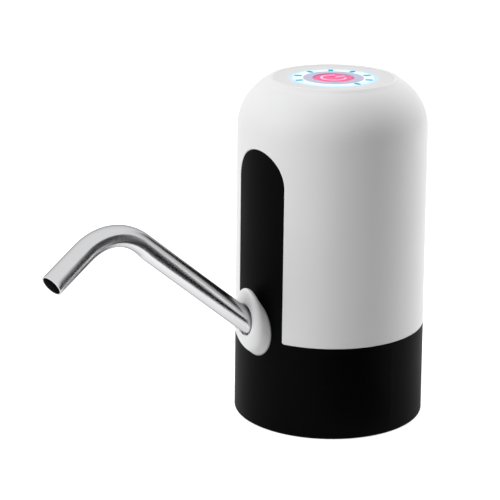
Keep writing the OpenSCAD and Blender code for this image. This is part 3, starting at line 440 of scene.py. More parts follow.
def port_hem():
    """Round the charging socket's window, as seen on the unrolled wall."""
    hem = []
    for sx, sz, first in ((1, 1, 0), (-1, 1, 90), (-1, -1, 180), (1, -1, 270)):
        for a in even(math.radians(first), math.radians(first + 90), PORT_STEPS):
            x = sx * (PORT_W / 2 - PORT_ROUND) + PORT_ROUND * math.cos(a)
            z = port_z + sz * (PORT_H / 2 - PORT_ROUND) + PORT_ROUND * math.sin(a)
            hem.append(spot(x, z, math.cos(a), math.sin(a)))
    return hem


def into(place, off):
    """Moves a hem's spot into the wall's material by off, along the surface."""
    turn, z, side, up = place
    return (turn + side * off / wall_r(z), z + up * off)


print("slot hem:", len(slot_hem()), "spots, port hem:", len(port_hem()))

# %% Wall and hems of the shell
WALL_ROWS = 62
HEM_STEPS = 6
shell = Skin()
wall_rows = even(SEAM_Z + HEM, shoulder_z, WALL_ROWS)
lean = DRAFT / shoulder_z


def wall_point(turn, z, depth):
    """Point of the wall, that far under its outer face. The outer face is shaded as a true cone."""
    normal = None
    if depth == 0:
        normal = Vector((math.sin(turn), -math.cos(turn), lean)).normalized()
    return shell.point(around(turn, wall_r(z) - depth, z), normal)


def hem_rows(spots, swing):
    """Rounds the outer edge, crosses the wall's thickness and ends on the inner face."""
    steps = [(HEM * (1 - math.sin(a)), HEM * (1 - math.cos(a))) for a in even(0, math.pi / 2, HEM_STEPS)]
    steps += [(0, SHELL_WALL), (HEM, SHELL_WALL)]
    rows = []
    for off, depth in steps:
        places = [into(s, off) for s in spots]
        rows.append([wall_point(turn + swing, z, depth) for turn, z in places])
    return rows


print("wall has", len(wall_rows), "rows of points")

# %% Patches round the shell's holes
PATCH_CLEAR = 0.5 * mm
PATCH_MERGE = 1e-9


def inside(place, polygon):
    """Even-odd test of a flat point in a polygon."""
    x, y = place
    hit = False
    for (ax, ay), (bx, by) in zip(polygon, polygon[1:] + polygon[:1]):
        if (ay > y) != (by > y) and x < ax + (y - ay) * (bx - ax) / (by - ay):
            hit = not hit
    return hit


def fill_patch(turns, rows, border, hole, swing):
    """Triangulates the unrolled wall between the grid's points and a hem, on both faces of the wall."""
    flat_border = [(turn * FOOT_R, z) for turn, z in border]
    flat_hole = [(turn * FOOT_R, z) for turn, z in hole]
    grid = []
    for turn in turns:
        for z in rows:
            flat = (turn * FOOT_R, z)
            edge = min(math.dist(flat, p) for p in flat_border)
            if edge > PATCH_CLEAR and not inside(flat, flat_hole):
                grid.append((turn, z))
    spots = list(border) + grid
    links = [(k, k + 1) for k in range(len(border) - 1)]
    if hole is border:
        links.append((len(border) - 1, 0))
    flat = [Vector((turn * FOOT_R, z)) for turn, z in spots]
    _, _, faces, source, _, _ = delaunay_2d_cdt(flat, links, [], 0, PATCH_MERGE)
    for face in faces:
        corners = [spots[source[v][0]] for v in face]
        turn, z = (sum(values) / len(corners) for values in zip(*corners))
        if inside((turn * FOOT_R, z), flat_hole):
            continue
        shell.faces.append([wall_point(t + swing, z, 0) for t, z in corners])
        shell.faces.append([wall_point(t + swing, z, SHELL_WALL) for t, z in reversed(corners)])


def columns_about(count):
    """Angles of the columns on both sides of the middle one."""
    return [-t for t in reversed(column_turn[1 : count + 1])] + column_turn[: count + 1]


front_turns = columns_about(FRONT_COLUMNS)
back_turns = columns_about(BACK_COLUMNS)
print("patches:", len(front_turns), "columns in front and", len(back_turns), "behind")

# %% Knit the shell
crown_rows = [[shell.point(around(t, p.x, p.y)) for t in column_turn] for p in crown]
shell.knit(crown_rows)

side_turns = column_turn[FRONT_COLUMNS : COLUMNS // 2 - BACK_COLUMNS + 1]
for turns in (side_turns, [2 * math.pi - t for t in reversed(side_turns)]):
    shell.knit([[wall_point(t, z, 0) for t in turns] for z in wall_rows], ring=False)
    shell.knit([[wall_point(t, z, SHELL_WALL) for t in turns] for z in reversed(wall_rows)], ring=False)

slot_spots = slot_hem()
foot_turn = slot_spots[-1][0]
right_floor = [(t, SEAM_Z, 0, 1) for t in front_turns if t > foot_turn]
left_floor = [(-t, z, side, up) for t, z, side, up in reversed(right_floor)]
front_spots = left_floor + slot_spots + right_floor
front_border = [into(s, HEM) for s in front_spots]
slot_hole = [into(s, HEM) for s in slot_spots]
fill_patch(front_turns, wall_rows[1:], front_border, slot_hole, 0)
back_floor = [(t, SEAM_Z, 0, 1) for t in column_turn[FRONT_COLUMNS + 1 : COLUMNS - FRONT_COLUMNS]]
shell.knit(hem_rows(front_spots + back_floor, 0)[::-1])

port_spots = port_hem()
port_border = [into(s, HEM) for s in port_spots]
fill_patch(back_turns, wall_rows, port_border, port_border, math.pi)
shell.knit(hem_rows(port_spots, math.pi))
print("shell is knit from", len(shell.faces), "faces")

# %% [markdown]
# The shell's plastic is a clean satin white. Close up it has the very fine grain of a spark-eroded mould.
# The dish is painted a shade greyer than its lip, a painted shade where less light falls, and round the
# lit ring it is painted with some of the cold light, a painted glow. Both are painted here as tints that
# change
# with the distance from the axis: a flush ring would hardly light its neighbours in a render.

# %% Satin white of the shell
WHITE = (0.80, 0.80, 0.805)
# The collar is the shell's plastic, painted lighter than the shell: painted light.
COLLAR_PAINTED_LIGHT_WHITE = (0.92, 0.92, 0.925)
GLOW_TINT = (0.62, 0.84, 1.0)
GLOW_FROM = 15.2 * mm
GLOW_TO = 17.6 * mm
# Painted shade: the dish's floor is painted greyer than its lip, where less light falls.
DISH_PAINTED_SHADE = (0.70, 0.70, 0.705)
DISH_SHADE_SOFT = 0.5 * mm
TINT_FROM = 0.5 * mm
TINT_FULL = 0.3 * mm
SATIN_ROUGH = 0.42
SATIN_GRAIN = 0.35 * mm
SATIN_DEEP = 0.004 * mm
SATIN_MOTTLE = 0.008


def distance_from_axis(tree, place):
    """Distance of a place from the body's axis, and its height."""
    split = tree.nodes.new("ShaderNodeSeparateXYZ")
    tree.links.new(place, split.inputs[0])
    flat = tree.nodes.new("ShaderNodeCombineXYZ")
    tree.links.new(split.outputs["X"], flat.inputs["X"])
    tree.links.new(split.outputs["Y"], flat.inputs["Y"])
    length = tree.nodes.new("ShaderNodeVectorMath")
    length.operation = "LENGTH"
    tree.links.new(flat.outputs[0], length.inputs[0])
    return length.outputs["Value"], split.outputs["Z"]


def ramp(tree, value, low, high):
    """0 at low and 1 at high, with soft ends."""
    node = tree.nodes.new("ShaderNodeMapRange")
    node.interpolation_type = "SMOOTHSTEP"
    node.inputs["From Min"].default_value = low
    node.inputs["From Max"].default_value = high
    tree.links.new(value, node.inputs["Value"])
    return node.outputs["Result"]


def tint_zone(tree, shader, first, second, colour):
    """Mixes a colour into the base colour where both factors are high."""
    both = tree.nodes.new("ShaderNodeMath")
    both.operation = "MULTIPLY"
    tree.links.new(first, both.inputs[0])
    tree.links.new(second, both.inputs[1])
    tint = tree.nodes.new("ShaderNodeMix")
    tint.data_type = "RGBA"
    tint.inputs["B"].default_value = colour + (1,)
    tree.links.new(shader.inputs["Base Color"].links[0].from_socket, tint.inputs["A"])
    tree.links.new(both.outputs[0], tint.inputs["Factor"])
    tree.links.new(tint.outputs["Result"], shader.inputs["Base Color"])


def satin_white(name, colour, dish_shade_and_glow):
    """White plastic. Its third argument adds the dish's painted shade and a painted glow round the lit
    ring.
    """
    tree, shader = grained(name, colour, SATIN_ROUGH, 0, SATIN_GRAIN, SATIN_DEEP, SATIN_MOTTLE)
    if dish_shade_and_glow:
        place = tree.nodes["Texture Coordinate"].outputs["Object"]
        radius, height = distance_from_axis(tree, place)
        high = ramp(tree, height, dish_z - TINT_FROM, dish_z - TINT_FULL)
        # Painted shade of the dish's floor.
        tint_zone(tree, shader, ramp(tree, radius, DISH_R + DISH_SHADE_SOFT, DISH_R), high, DISH_PAINTED_SHADE)
        # Painted glow of the lit ring on the dish round it.
        tint_zone(tree, shader, ramp(tree, radius, GLOW_TO, GLOW_FROM), high, GLOW_TINT)


satin_white("shell_white", WHITE, True)
stand_for(shell.piece("shell"), "upper_shell", "shell_white")

# %% [markdown]
# ## Spout collar
# The white collar is a round bar that leans with the spout and is cut upright at the front, so its
# outline there is an oval. Its front edge rolls over softly to the mouth. Every ring of this piece lies
# on a cylinder round the spout's axis. Three small functions cut such a cylinder square, by an upright
# plane or by the body's wall, and give all its rows.

# %% Collar
SPOUT_Z = 39 * mm
SPOUT_RISE = math.radians(39.4)
COLLAR_R = 8.3 * mm
COLLAR_OUT = 5.2 * mm
COLLAR_ROUND = 2.6 * mm
COLLAR_ROUND_IN = 2.9 * mm
COLLAR_CREST = 0.23
MOUTH_R = 4.65 * mm
MOUTH_LIP = 0.5 * mm
SEAL_BORE_R = 5.25 * mm
SEAL_BORE_END = 1.8 * mm
STEM_R = 6.3 * mm
STEM_IN = 4.2 * mm
RING_POINTS = 72
COLLAR_ROWS = 6
ROLL_STEPS = 12
LIP_STEPS = 6
MEET_TRIES = 8
spout_axis = Vector((0, -math.cos(SPOUT_RISE), math.sin(SPOUT_RISE)))
spout_up = Vector((0, math.sin(SPOUT_RISE), math.cos(SPOUT_RISE)))
spout_root = Vector((0, -FOOT_R, SPOUT_Z))
ring_turn = [2 * math.pi * k / RING_POINTS for k in range(RING_POINTS)]


def square_ring(r, along):
    """Ring square to the spout's axis."""
    centre = spout_root + spout_axis * along
    return [centre + Vector((r * math.cos(a), 0, 0)) + spout_up * r * math.sin(a) for a in ring_turn]


def upright_ring(r, out, crest=0.0):
    """Ring of the same cylinder, cut by an upright plane. crest stretches its upper half."""
    ring = []
    for a in ring_turn:
        up = math.sin(a) * (1 + crest * max(0, math.sin(a)))
        z = SPOUT_Z + out * math.tan(SPOUT_RISE) + r * up / math.cos(SPOUT_RISE)
        ring.append(Vector((r * math.cos(a), -FOOT_R - out, z)))
    return ring


def wall_ring(r, sunk):
    """Ring of the same cylinder where it meets the body's wall, a little sunk in it."""
    ring = []
    for a in ring_turn:
        out = 0
        x = r * math.cos(a)
        for _ in range(MEET_TRIES):
            z = SPOUT_Z + out * math.tan(SPOUT_RISE) + r * math.sin(a) / math.cos(SPOUT_RISE)
            out = math.sqrt((wall_r(z) - sunk) ** 2 - x**2) - FOOT_R
        ring.append(Vector((x, -FOOT_R - out, z)))
    return ring


def blend_rings(first, last, share):
    """Ring between two others, that share of the way."""
    return [a.lerp(b, share) for a, b in zip(first, last)]


collar = Skin()
collar_root = wall_ring(COLLAR_R, 0)
collar_edge = upright_ring(COLLAR_R, COLLAR_OUT - COLLAR_ROUND, COLLAR_CREST)
collar_rings = [blend_rings(collar_root, collar_edge, share) for share in even(0, 1, COLLAR_ROWS)]
for a in even(0, math.pi / 2, ROLL_STEPS)[1:]:
    collar_rings.append(
        upright_ring(
            COLLAR_R - COLLAR_ROUND_IN * (1 - math.cos(a)),
            COLLAR_OUT - COLLAR_ROUND * (1 - math.sin(a)),
            COLLAR_CREST,
        )
    )
for a in even(0, math.pi / 2, LIP_STEPS):
    lip = MOUTH_LIP * (1 - math.sin(a))
    collar_rings.append(upright_ring(MOUTH_R + lip, COLLAR_OUT - MOUTH_LIP * (1 - math.cos(a))))
collar_rings += [
    square_ring(MOUTH_R, SEAL_BORE_END),
    square_ring(SEAL_BORE_R, SEAL_BORE_END),
    square_ring(SEAL_BORE_R, -STEM_IN),
    square_ring(STEM_R, -STEM_IN),
    wall_ring(STEM_R, 0),
]
collar.knit([[collar.point(p) for p in ring] for ring in collar_rings][::-1], loop=True)
# The collar's lighter white is painted light.
satin_white("collar_white", COLLAR_PAINTED_LIGHT_WHITE, False)
collar_piece = collar.piece("collar")
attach(collar_piece, "housing")
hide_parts("spout_collar")
collar_piece.data.materials.append(bpy.data.materials["collar_white"])

# %% [markdown]
# A soft sleeve in the collar grips the spout, seals it and turns with it. Only its front face could be
# seen, deep in the mouth, so it ends just behind the collar's lip there.

# %% Sleeve in the collar
SLEEVE_R = 5.2 * mm
SLEEVE_BORE_R = 4.15 * mm
SLEEVE_IN = 4.1 * mm
SLEEVE_END = 1.75 * mm
SLEEVE_ROUND = 0.25 * mm
EDGE_STEPS = 5
quarter = even(0, math.pi / 2, EDGE_STEPS)

sleeve = Skin()
sleeve_rings = [square_ring(SLEEVE_R, -SLEEVE_IN)]
for edge_r, way, bends in ((SLEEVE_R, -1, quarter), (SLEEVE_BORE_R, 1, quarter[::-1])):
    for a in bends:
        along = SLEEVE_END - SLEEVE_ROUND * (1 - math.sin(a))
        sleeve_rings.append(square_ring(edge_r + way * SLEEVE_ROUND * (1 - math.cos(a)), along))
sleeve_rings.append(square_ring(SLEEVE_BORE_R, -SLEEVE_IN))
sleeve.knit([[sleeve.point(p) for p in ring] for ring in sleeve_rings][::-1], loop=True)
stand_for(sleeve.piece("sleeve"), "spout_seal", "clear_silicone")

# %% [markdown]
# ## Steel spout
# The spout is thin stainless tube, bent once over a former. Bending flattens it a little, and where the
# bend starts its inner side is pressed in by the former's edge. A curve object with a bevel can't do
# that, so the tube is rings along a path: straight, arc, straight. Each ring is drawn in on its inner
# side by an amount that rises quickly at the start of the bend and fades out towards the tip.

# %% Path of the spout
TUBE_R = 4.1 * mm
TUBE_WALL = 0.5 * mm
SPOUT_RUN = 65 * mm
BEND_R = 22 * mm
BEND_TURN = math.radians(70.7)
TIP_RUN = 16.5 * mm
SPOUT_TURN = math.radians(7)
CREASE_START = SPOUT_RUN - 4 * mm
CREASE_DEPTH = 0.48 * mm
CREASE_RISE = 3 * mm
CREASE_FADE = 9 * mm
CREASE_GONE = 3 * mm
CREASE_NARROW = 4
TUBE_LIP = 0.18 * mm
bend_end = SPOUT_RUN + BEND_R * BEND_TURN
tube_end = bend_end + TIP_RUN
swivel = Matrix.Rotation(SPOUT_TURN, 3, spout_axis)
bend_in = swivel @ -spout_up
tube_side = swivel @ Vector((1, 0, 0))


def soft_step(value, low, high):
    """0 up to low, 1 from high, with a smooth rise between."""
    t = min(1, max(0, (value - low) / (high - low)))
    return t * t * (3 - 2 * t)


def on_tube(s):
    """Middle of the tube and its heading, s along it from the body's face."""
    turn = min(BEND_TURN, max(0, (s - SPOUT_RUN) / BEND_R))
    heading = spout_axis * math.cos(turn) + bend_in * math.sin(turn)
    middle = spout_root + spout_axis * min(s, SPOUT_RUN)
    middle += BEND_R * (spout_axis * math.sin(turn) + bend_in * (1 - math.cos(turn)))
    middle += heading * max(0, s - bend_end)
    return middle, heading


def tube_ring(s, r):
    """Ring of that radius, s along the tube, with the crease pressed into its inner side."""
    middle, heading = on_tube(s)
    inward = tube_side.cross(heading).normalized()
    if inward.dot(bend_in) < 0:
        inward.negate()
    press = soft_step(s, CREASE_START, CREASE_START + CREASE_RISE)
    press *= 1 - soft_step(s, SPOUT_RUN + CREASE_FADE, bend_end + CREASE_GONE)
    ring = []
    for a in ring_turn:
        side = math.cos(a)
        inner = math.sin(a)
        draw = CREASE_DEPTH * press * max(0, inner) ** CREASE_NARROW
        ring.append(middle + tube_side * r * side + inward * (r * inner - draw))
    return ring


print("spout is", round(tube_end / mm, 1), "mm long")

# %% Knit the spout
before_crease = CREASE_START - 1 * mm
after_bend = bend_end + 4 * mm
TUBE_STRETCHES = (
    (-STEM_IN, before_crease, 34),
    (before_crease, SPOUT_RUN, 16),
    (SPOUT_RUN, after_bend, 42),
    (after_bend, tube_end - TUBE_LIP, 8),
)
stations = [-STEM_IN]
for start, end, count in TUBE_STRETCHES:
    stations += even(start, end, count)[1:]

tube = Skin()
outer_rings = [(s, TUBE_R) for s in stations]
lip_rings = [
    (tube_end - TUBE_LIP * (1 - math.sin(a)), TUBE_R - TUBE_LIP * (1 - math.cos(a)))
    for a in quarter[1:]
]
inner_rings = [(s, TUBE_R - TUBE_WALL) for s in [tube_end] + stations[::-1]]
tube_rings = outer_rings + lip_rings + inner_rings
tube_rows = [[tube.point(p) for p in tube_ring(s, r)] for s, r in tube_rings]
tube.knit(tube_rows, loop=True)
tube_piece = tube.piece("spout")
run_of = {}
for row, (s, _) in zip(tube_rows, tube_rings):
    for k, point in enumerate(row):
        run_of[point] = (k / RING_POINTS, s / tube_end)
tube_map = tube_piece.data.uv_layers.new(name="along")
for face in tube_piece.data.polygons:
    spots = [run_of[v] for v in face.vertices]
    crosses_seam = max(u for u, _ in spots) > 0.5 and min(u for u, _ in spots) == 0
    for corner, (u, v) in zip(face.loop_indices, spots):
        tube_map.data[corner].uv = (1 if crosses_seam and u == 0 else u, v)

# %% [markdown]
# The steel is brushed round and round while the tube turns in a belt grinder, so its fine scratches lie
# across its length. They are a noise that changes quickly along the tube and slowly round it, on the map
# made above. The tint at grazing angles is set darker than the face, which darkens the tube towards its
# outline.

# %% Brushed steel
STEEL = (0.66, 0.66, 0.67)
STEEL_GRAZING = (0.30, 0.30, 0.31, 1)
STEEL_MOTTLE = 0.03
STEEL_ROUGH = (0.18, 0.25)
SCRATCHES = (3, 420, 1)
SCRATCH_DEPTH = 0.001 * mm
BRUSHING = 0.8
BRUSHED_ACROSS = 0.25
# Painted shade: the bore is painted near black.
BORE_PAINTED_SHADE = (0.06, 0.06, 0.06)
BORE_ROUGH = 0.5

tree, shader = new_finish("spout_steel")
unrolled = tree.nodes.new("ShaderNodeUVMap")
unrolled.uv_map = "along"
stretch = tree.nodes.new("ShaderNodeMapping")
stretch.inputs["Scale"].default_value = SCRATCHES
tree.links.new(unrolled.outputs["UV"], stretch.inputs["Vector"])
scratches = noise(tree, 1, BROAD_DETAIL, stretch.outputs["Vector"])
tree.links.new(two_tones(tree, scratches, STEEL, STEEL_MOTTLE), shader.inputs["Base Color"])
tree.links.new(spread(tree, scratches, *STEEL_ROUGH), shader.inputs["Roughness"])
tangent = tree.nodes.new("ShaderNodeTangent")
tangent.direction_type = "UV_MAP"
tangent.uv_map = "along"
tree.links.new(tangent.outputs["Tangent"], shader.inputs["Tangent"])
shader.inputs["Anisotropic"].default_value = BRUSHING
shader.inputs["Anisotropic Rotation"].default_value = BRUSHED_ACROSS
tree.links.new(bumped(tree, scratches, SCRATCH_DEPTH), shader.inputs["Normal"])
shader.inputs["Metallic"].default_value = 1
shader.inputs["Specular Tint"].default_value = STEEL_GRAZING
# The tube's bore gets a near black steel: painted shade inside the tube.
grained("spout_bore_painted_shade", BORE_PAINTED_SHADE, BORE_ROUGH, 1)
stand_for(tube_piece, "spout_tube", "spout_steel")
tube_piece.data.materials.append(bpy.data.materials["spout_bore_painted_shade"])
inner_points = {point for row in tube_rows[-len(inner_rings) :] for point in row}
for face in tube_piece.data.polygons:
    if all(v in inner_points for v in face.vertices):
        face.material_index = 1
print("steel finish on the spout, darker in its bore")

# %% [markdown]
# ## Push button and lit ring
# The button is a slightly domed pink cap with a rounded edge, and its power sign is a raised line: a ring
# with a gap, and a bar in the gap. The sign could be a texture, but as geometry it stays sharp at any
# distance. It is woven as a flat ribbon that follows the dome.

# %% Button cap
cap_low, cap_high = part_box("button_cap")
BUTTON_R = 7.55 * mm
BUTTON_EDGE = 0.5 * mm
BUTTON_SINK = 0.3 * mm
CROWN_R = 120 * mm
DOME_R = 3.5 * mm
DOME_SOFT = 6 * mm
AXIS_HOLE = 0.02 * mm
LIP_RISE = 2.3 * mm
FLOOR_RISE = 1 * mm
STEM_FOOT_R = 1.6 * mm
BUTTON_PINK = (0.74, 0.10, 0.26)
BUTTON_GLOW = 0.25
TINTED_ROUGH = 0.45
TINTED_GRAIN = 0.3 * mm
TINTED_DEEP = 0.002 * mm
TINTED_MOTTLE = 0.02
TINTED_SHINE = 0.1
lip_r = cap_high.x
lip_top = cap_low.z + LIP_RISE
cap_floor = cap_low.z + FLOOR_RISE


def crown_z(r):
    """Height of the button's domed face."""
    return cap_high.z - BUTTON_SINK - (CROWN_R - math.sqrt(CROWN_R**2 - r**2))


def tinted(name, colour, glow):
    """Coloured plastic that gives off a faint light of its own."""
    _, shader = grained(name, colour, TINTED_ROUGH, 0, TINTED_GRAIN, TINTED_DEEP, TINTED_MOTTLE)
    shader.inputs["Specular IOR Level"].default_value = TINTED_SHINE
    shader.inputs["Emission Color"].default_value = colour + (1,)
    shader.inputs["Emission Strength"].default_value = glow


cap_outline = softened(
    [
        (AXIS_HOLE, crown_z(0), 0),
        (DOME_R, crown_z(DOME_R), DOME_SOFT),
        (BUTTON_R, crown_z(BUTTON_R), BUTTON_EDGE),
        (BUTTON_R, lip_top, 0),
        (lip_r, lip_top, 0),
        (lip_r, cap_floor, 0),
        (STEM_FOOT_R, cap_floor, 0),
        (STEM_FOOT_R, cap_low.z, 0),
        (AXIS_HOLE, cap_low.z, 0),
    ]
)
cap = Skin()
cap.knit([[cap.point(around(t, p.x, p.y)) for t in column_turn] for p in cap_outline[::-1]], loop=True)
tinted("button_pink", BUTTON_PINK, BUTTON_GLOW)
stand_for(cap.piece("button"), "button_cap", "button_pink")

# %% Power sign
SIGN_R = 4.5 * mm
SIGN_W = 0.9 * mm
SIGN_GAP = math.radians(42)
SIGN_PROUD = 0.04 * mm
SIGN_FLAT = 0.9
SIGN_STEPS = 60
BAR_STEPS = 12
BAR_IN = 0.8 * mm
BAR_OUT = 5.4 * mm
SIGN_PALE = (0.95, 0.52, 0.72)
SIGN_GLOW = 0.3


def on_crown(x, y, lift):
    """Point that far above the button's face."""
    return (x, y, crown_z(math.hypot(x, y)) + lift)


def ribbon(skin, middle_line):
    """Flat line of the sign's width along points (x, y, side x, side y), with a top and sunk edges."""
    half = SIGN_W / 2
    flat = half * SIGN_FLAT
    rows = []
    for offset, way in ((-half, -1), (-flat, 1), (flat, 1), (half, -1)):
        row = []
        for x, y, side_x, side_y in middle_line:
            place = on_crown(x + side_x * offset, y + side_y * offset, way * SIGN_PROUD)
            row.append(skin.point(place))
        rows.append(row)
    skin.knit(rows, ring=False, loop=True)
    for end in (0, -1):
        corners = [row[end] for row in rows]
        skin.faces.append(corners if end == 0 else corners[::-1])


sign = Skin()
back = math.pi / 2
ring_line = []
for a in even(back + SIGN_GAP, back + 2 * math.pi - SIGN_GAP, SIGN_STEPS):
    ring_line.append((SIGN_R * math.cos(a), SIGN_R * math.sin(a), math.cos(a), math.sin(a)))
ribbon(sign, ring_line)
ribbon(sign, [(0, y, 1, 0) for y in even(BAR_IN, BAR_OUT, BAR_STEPS)])
tinted("sign_pale", SIGN_PALE, SIGN_GLOW)
sign_piece = sign.piece("power_sign")
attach(sign_piece, "power_button")
sign_piece.data.materials.append(bpy.data.materials["sign_pale"])

# %% [markdown]
# The ring is frosted plastic over a row of lamps, and it glows a cold white that turns bluer at its outer
# rim. The dashes are windows of deeper blue. Both give off a little light of their own: enough to look
# lit in daylight, and far too little to burn out to white.

# %% Lit finishes
RIM_FROM = 13.6 * mm
RIM_TO = 15.6 * mm
FROSTED_ROUGH = 0.5
FROSTED_MOTTLE = 0.02
RING_WHITE = (0.42, 0.46, 0.47)
RING_GLOW = (0.76, 0.97, 1.0)
RING_RIM_GLOW = (0.52, 0.74, 0.98)
RING_STRENGTH = 0.66
DASH_BLUE = (0.004, 0.03, 0.05)
DASH_GLOW = (0.0, 0.45, 0.70)
DASH_STRENGTH = 0.95
BEZEL_GREY = (0.50, 0.48, 0.62)
BEZEL_GLOW = 0.08


def lit(name, colour, glow, strength, rim_glow=None):
    """Plastic that glows, with another glow towards the ring's outer rim if one is given."""
    tree, shader = grained(name, colour, FROSTED_ROUGH, mottle=FROSTED_MOTTLE, Specular_IOR_Level=0)
    shader.inputs["Emission Color"].default_value = glow + (1,)
    shader.inputs["Emission Strength"].default_value = strength
    if rim_glow:
        place = tree.nodes["Texture Coordinate"].outputs["Object"]
        radius, _ = distance_from_axis(tree, place)
        edge = ramp(tree, radius, RIM_FROM, RIM_TO)
        mix = tree.nodes.new("ShaderNodeMix")
        mix.data_type = "RGBA"
        mix.inputs["A"].default_value = glow + (1,)
        mix.inputs["B"].default_value = rim_glow + (1,)
        tree.links.new(edge, mix.inputs["Factor"])
        tree.links.new(mix.outputs["Result"], shader.inputs["Emission Color"])


lit("ring_glow", RING_WHITE, RING_GLOW, RING_STRENGTH, RING_RIM_GLOW)
lit("mark_cyan", DASH_BLUE, DASH_GLOW, DASH_STRENGTH)
tinted("bezel_grey", BEZEL_GREY, BEZEL_GLOW)
print("finishes of the ring, the dashes and the bezel")

# %% [markdown]
# Light bleeds round a lit window, so each dash looks broader than its solid. Here the dashes are plates
# with round ends, a little broader than the windows.

# %% Dashes in the ring
DASHES = 8
DASH_STEP = math.radians(36)
DASH_R = 13.4 * mm
DASH_L = 3.1 * mm
DASH_W = 1.9 * mm
DASH_DEEP = 0.3 * mm
DASH_END_STEPS = 9
dash_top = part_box("light_marks")[1].z
upward = Vector((0, 0, 1))


def dash_rim(turn):
    """Outline of one dash, which points away from the axis."""
    outward = Vector((math.cos(turn), math.sin(turn), 0))
    side = upward.cross(outward)
    rim = []
    for half, first in ((1, -math.pi / 2), (-1, math.pi / 2)):
        for a in even(first, first + math.pi, DASH_END_STEPS):
            along = half * (DASH_L - DASH_W) / 2 + DASH_W / 2 * math.cos(a)
            rim.append(outward * (DASH_R + along) + side * DASH_W / 2 * math.sin(a))
    return rim


dashes = Skin()
for k in range(DASHES):
    rim = dash_rim(k * DASH_STEP)
    low = [dashes.point(p + upward * (dash_top - DASH_DEEP)) for p in rim]
    high = [dashes.point(p + upward * dash_top, upward) for p in rim]
    dashes.knit([low, high])
    dashes.faces += [high, low[::-1]]
stand_for(dashes.piece("dashes"), "light_marks", "mark_cyan")

# %% [markdown]
# ## Black base
# The base, its neck sleeve and the arched front panel are one black moulding with a matt skin. Its solid
# already has the right shape, so only the finish is new: a deep black, a fine grain, and just enough
# gloss for a soft light along its edges.

# %% Matt black of the base
BASE_BLACK = (0.0018, 0.0018, 0.002)
BASE_ROUGH = 0.5
BASE_GRAIN = 0.45 * mm
BASE_DEEP = 0.006 * mm
BASE_MOTTLE = 0.1
BASE_SHINE = 0.022
_, shader = grained("base_black", BASE_BLACK, BASE_ROUGH, 0, BASE_GRAIN, BASE_DEEP, BASE_MOTTLE)
shader.inputs["Specular IOR Level"].default_value = BASE_SHINE
print("finishes:", len(bpy.data.materials))

# %% [markdown]
# ## Floor and light
# The photograph has a pure white ground. More light would bleach the pump as well, so the floor and the
# world are white only to the camera and in reflections, by Light Path, and plain surfaces to all other
# rays. The floor mixes in some real shading, so that the shadow at the foot stays, and far from the lamps
# a little more white.

# %% White floor
FLOOR_HALF = 4.0
FLOOR_SUNK = 0.02 * mm
FLOOR_GREY = (0.75, 0.75, 0.75, 1)
NEAR_FLOOR = 0.4
FAR_FLOOR = 2.0
NEAR_WHITE = 0.74
FAR_WHITE = 0.89

floor_mesh = bpy.data.meshes.new("floor")
corners = [(FLOOR_HALF * x, FLOOR_HALF * y, -FLOOR_SUNK) for x, y in ((-1, -1), (1, -1), (1, 1), (-1, 1))]
floor_mesh.from_pydata(corners, [], [(0, 1, 2, 3)])
floor = bpy.data.objects.new("floor", floor_mesh)
scene.collection.objects.link(floor)


def seen_directly(tree):
    """1 for the camera and for reflections, 0 for light that falls on other surfaces."""
    path = tree.nodes.new("ShaderNodeLightPath")
    total = path.outputs["Is Camera Ray"]
    for name in ("Is Glossy Ray", "Is Transmission Ray"):
        add = tree.nodes.new("ShaderNodeMath")
        add.operation = "MAXIMUM"
        tree.links.new(total, add.inputs[0])
        tree.links.new(path.outputs[name], add.inputs[1])
        total = add.outputs[0]
    return total


paper = bpy.data.materials.new("white_floor")
paper.use_nodes = True
tree = paper.node_tree
tree.nodes.clear()
shade = tree.nodes.new("ShaderNodeBsdfDiffuse")
shade.inputs["Color"].default_value = FLOOR_GREY
white = tree.nodes.new("ShaderNodeEmission")
radius, _ = distance_from_axis(tree, tree.nodes.new("ShaderNodeTexCoord").outputs["Object"])
far = tree.nodes.new("ShaderNodeMapRange")
far.inputs["From Min"].default_value = NEAR_FLOOR
far.inputs["From Max"].default_value = FAR_FLOOR
far.inputs["To Min"].default_value = NEAR_WHITE
far.inputs["To Max"].default_value = FAR_WHITE
tree.links.new(radius, far.inputs["Value"])
tree.links.new(far.outputs["Result"], white.inputs["Strength"])
both = tree.nodes.new("ShaderNodeAddShader")
tree.links.new(shade.outputs[0], both.inputs[0])
tree.links.new(white.outputs[0], both.inputs[1])
choose = tree.nodes.new("ShaderNodeMixShader")
tree.links.new(seen_directly(tree), choose.inputs[0])
tree.links.new(shade.outputs[0], choose.inputs[1])
tree.links.new(both.outputs[0], choose.inputs[2])
out = tree.nodes.new("ShaderNodeOutputMaterial")
tree.links.new(choose.outputs[0], out.inputs["Surface"])
floor_mesh.materials.append(paper)
print("floor is", 2 * FLOOR_HALF, "m wide")

# %% White world
FILL = 0.15
PURE_WHITE = (1, 1, 1, 1)

world = bpy.data.worlds.new("studio")
scene.world = world
world.use_nodes = True
tree = world.node_tree
tree.nodes.clear()
fill = tree.nodes.new("ShaderNodeBackground")
fill.inputs["Color"].default_value = PURE_WHITE
fill.inputs["Strength"].default_value = FILL
white = tree.nodes.new("ShaderNodeBackground")
white.inputs["Color"].default_value = PURE_WHITE
choose = tree.nodes.new("ShaderNodeMixShader")
tree.links.new(seen_directly(tree), choose.inputs[0])
tree.links.new(fill.outputs[0], choose.inputs[1])
tree.links.new(white.outputs[0], choose.inputs[2])
out = tree.nodes.new("ShaderNodeOutputWorld")
tree.links.new(choose.outputs[0], out.inputs["Surface"])
print("floor and world are white to the camera")

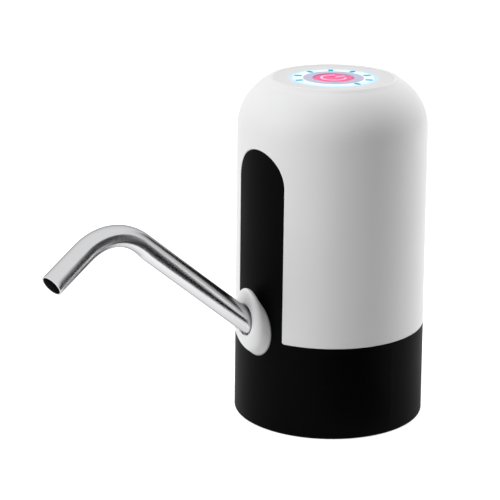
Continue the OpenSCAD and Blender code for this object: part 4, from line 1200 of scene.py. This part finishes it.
# %% [markdown]
# A large soft lamp on the left models the white wall from light to grey, as in the photograph. One behind
# on the right lifts the far edge, and one above lights the top. Area lamps give soft shadows without any
# textures.

# %% Lamps
LAMP_AIM = (0, 0, 0.07)
LAMPS = {
    "key": ((-0.95, -0.45, 0.55), (0.8, 1.0), 8.3),
    "rim": ((0.83, 0.46, 0.35), (0.3, 0.9), 7.4),
    "top": ((-0.1, 0.1, 1.2), (0.7, 0.7), 6.2),
}


def soft_lamp(name, place, size, power):
    """Area lamp aimed at the pump, placed as the picture shows it. Reflections don't see it."""
    data = bpy.data.lights.new(name, "AREA")
    data.shape = "RECTANGLE"
    data.size, data.size_y = size
    data.energy = power
    lamp = bpy.data.objects.new(name, data)
    lamp.visible_glossy = False
    spot_at = studio @ Vector(place)
    way = studio @ Vector(LAMP_AIM) - spot_at
    lamp.matrix_world = Matrix.Translation(spot_at) @ way.to_track_quat("-Z", "Y").to_matrix().to_4x4()
    scene.collection.objects.link(lamp)


for lamp_name, (place, size, power) in LAMPS.items():
    soft_lamp(lamp_name, place, size, power)
print("lamps:", ", ".join(LAMPS))

# %% [markdown]
# A metal tube mirrors the whole studio, and in an all-white one it looks flat. So a plain black card,
# folded once, is set to the right of the pump: half of it lies on the floor and half stands upright. Only
# reflections see it, and it is no part of the object.

# %% Black card at the right of the studio
CARD_NEAR = 48 * mm
CARD_FAR = 90 * mm
CARD_FRONT = -85 * mm
CARD_BACK = 14 * mm
CARD_HIGH = 135 * mm
CARD_LIFT = 0.3 * mm
CARD_BLACK = (0.0, 0.0, 0.0)
CARD_ROUGH = 1.0

card = Skin()
card_rows = []
for x, z in ((CARD_NEAR, CARD_LIFT), (CARD_FAR, CARD_LIFT), (CARD_FAR, CARD_HIGH)):
    card_rows.append([card.point(Vector((x, y, z))) for y in (CARD_FRONT, CARD_BACK)])
card.knit(card_rows, ring=False)
card_piece = card.piece("black_card")
grained("card_black", CARD_BLACK, CARD_ROUGH, Specular_IOR_Level=0)
card_piece.data.materials.append(bpy.data.materials["card_black"])
for ray in ("camera", "diffuse", "transmission", "shadow"):
    setattr(card_piece, "visible_" + ray, False)
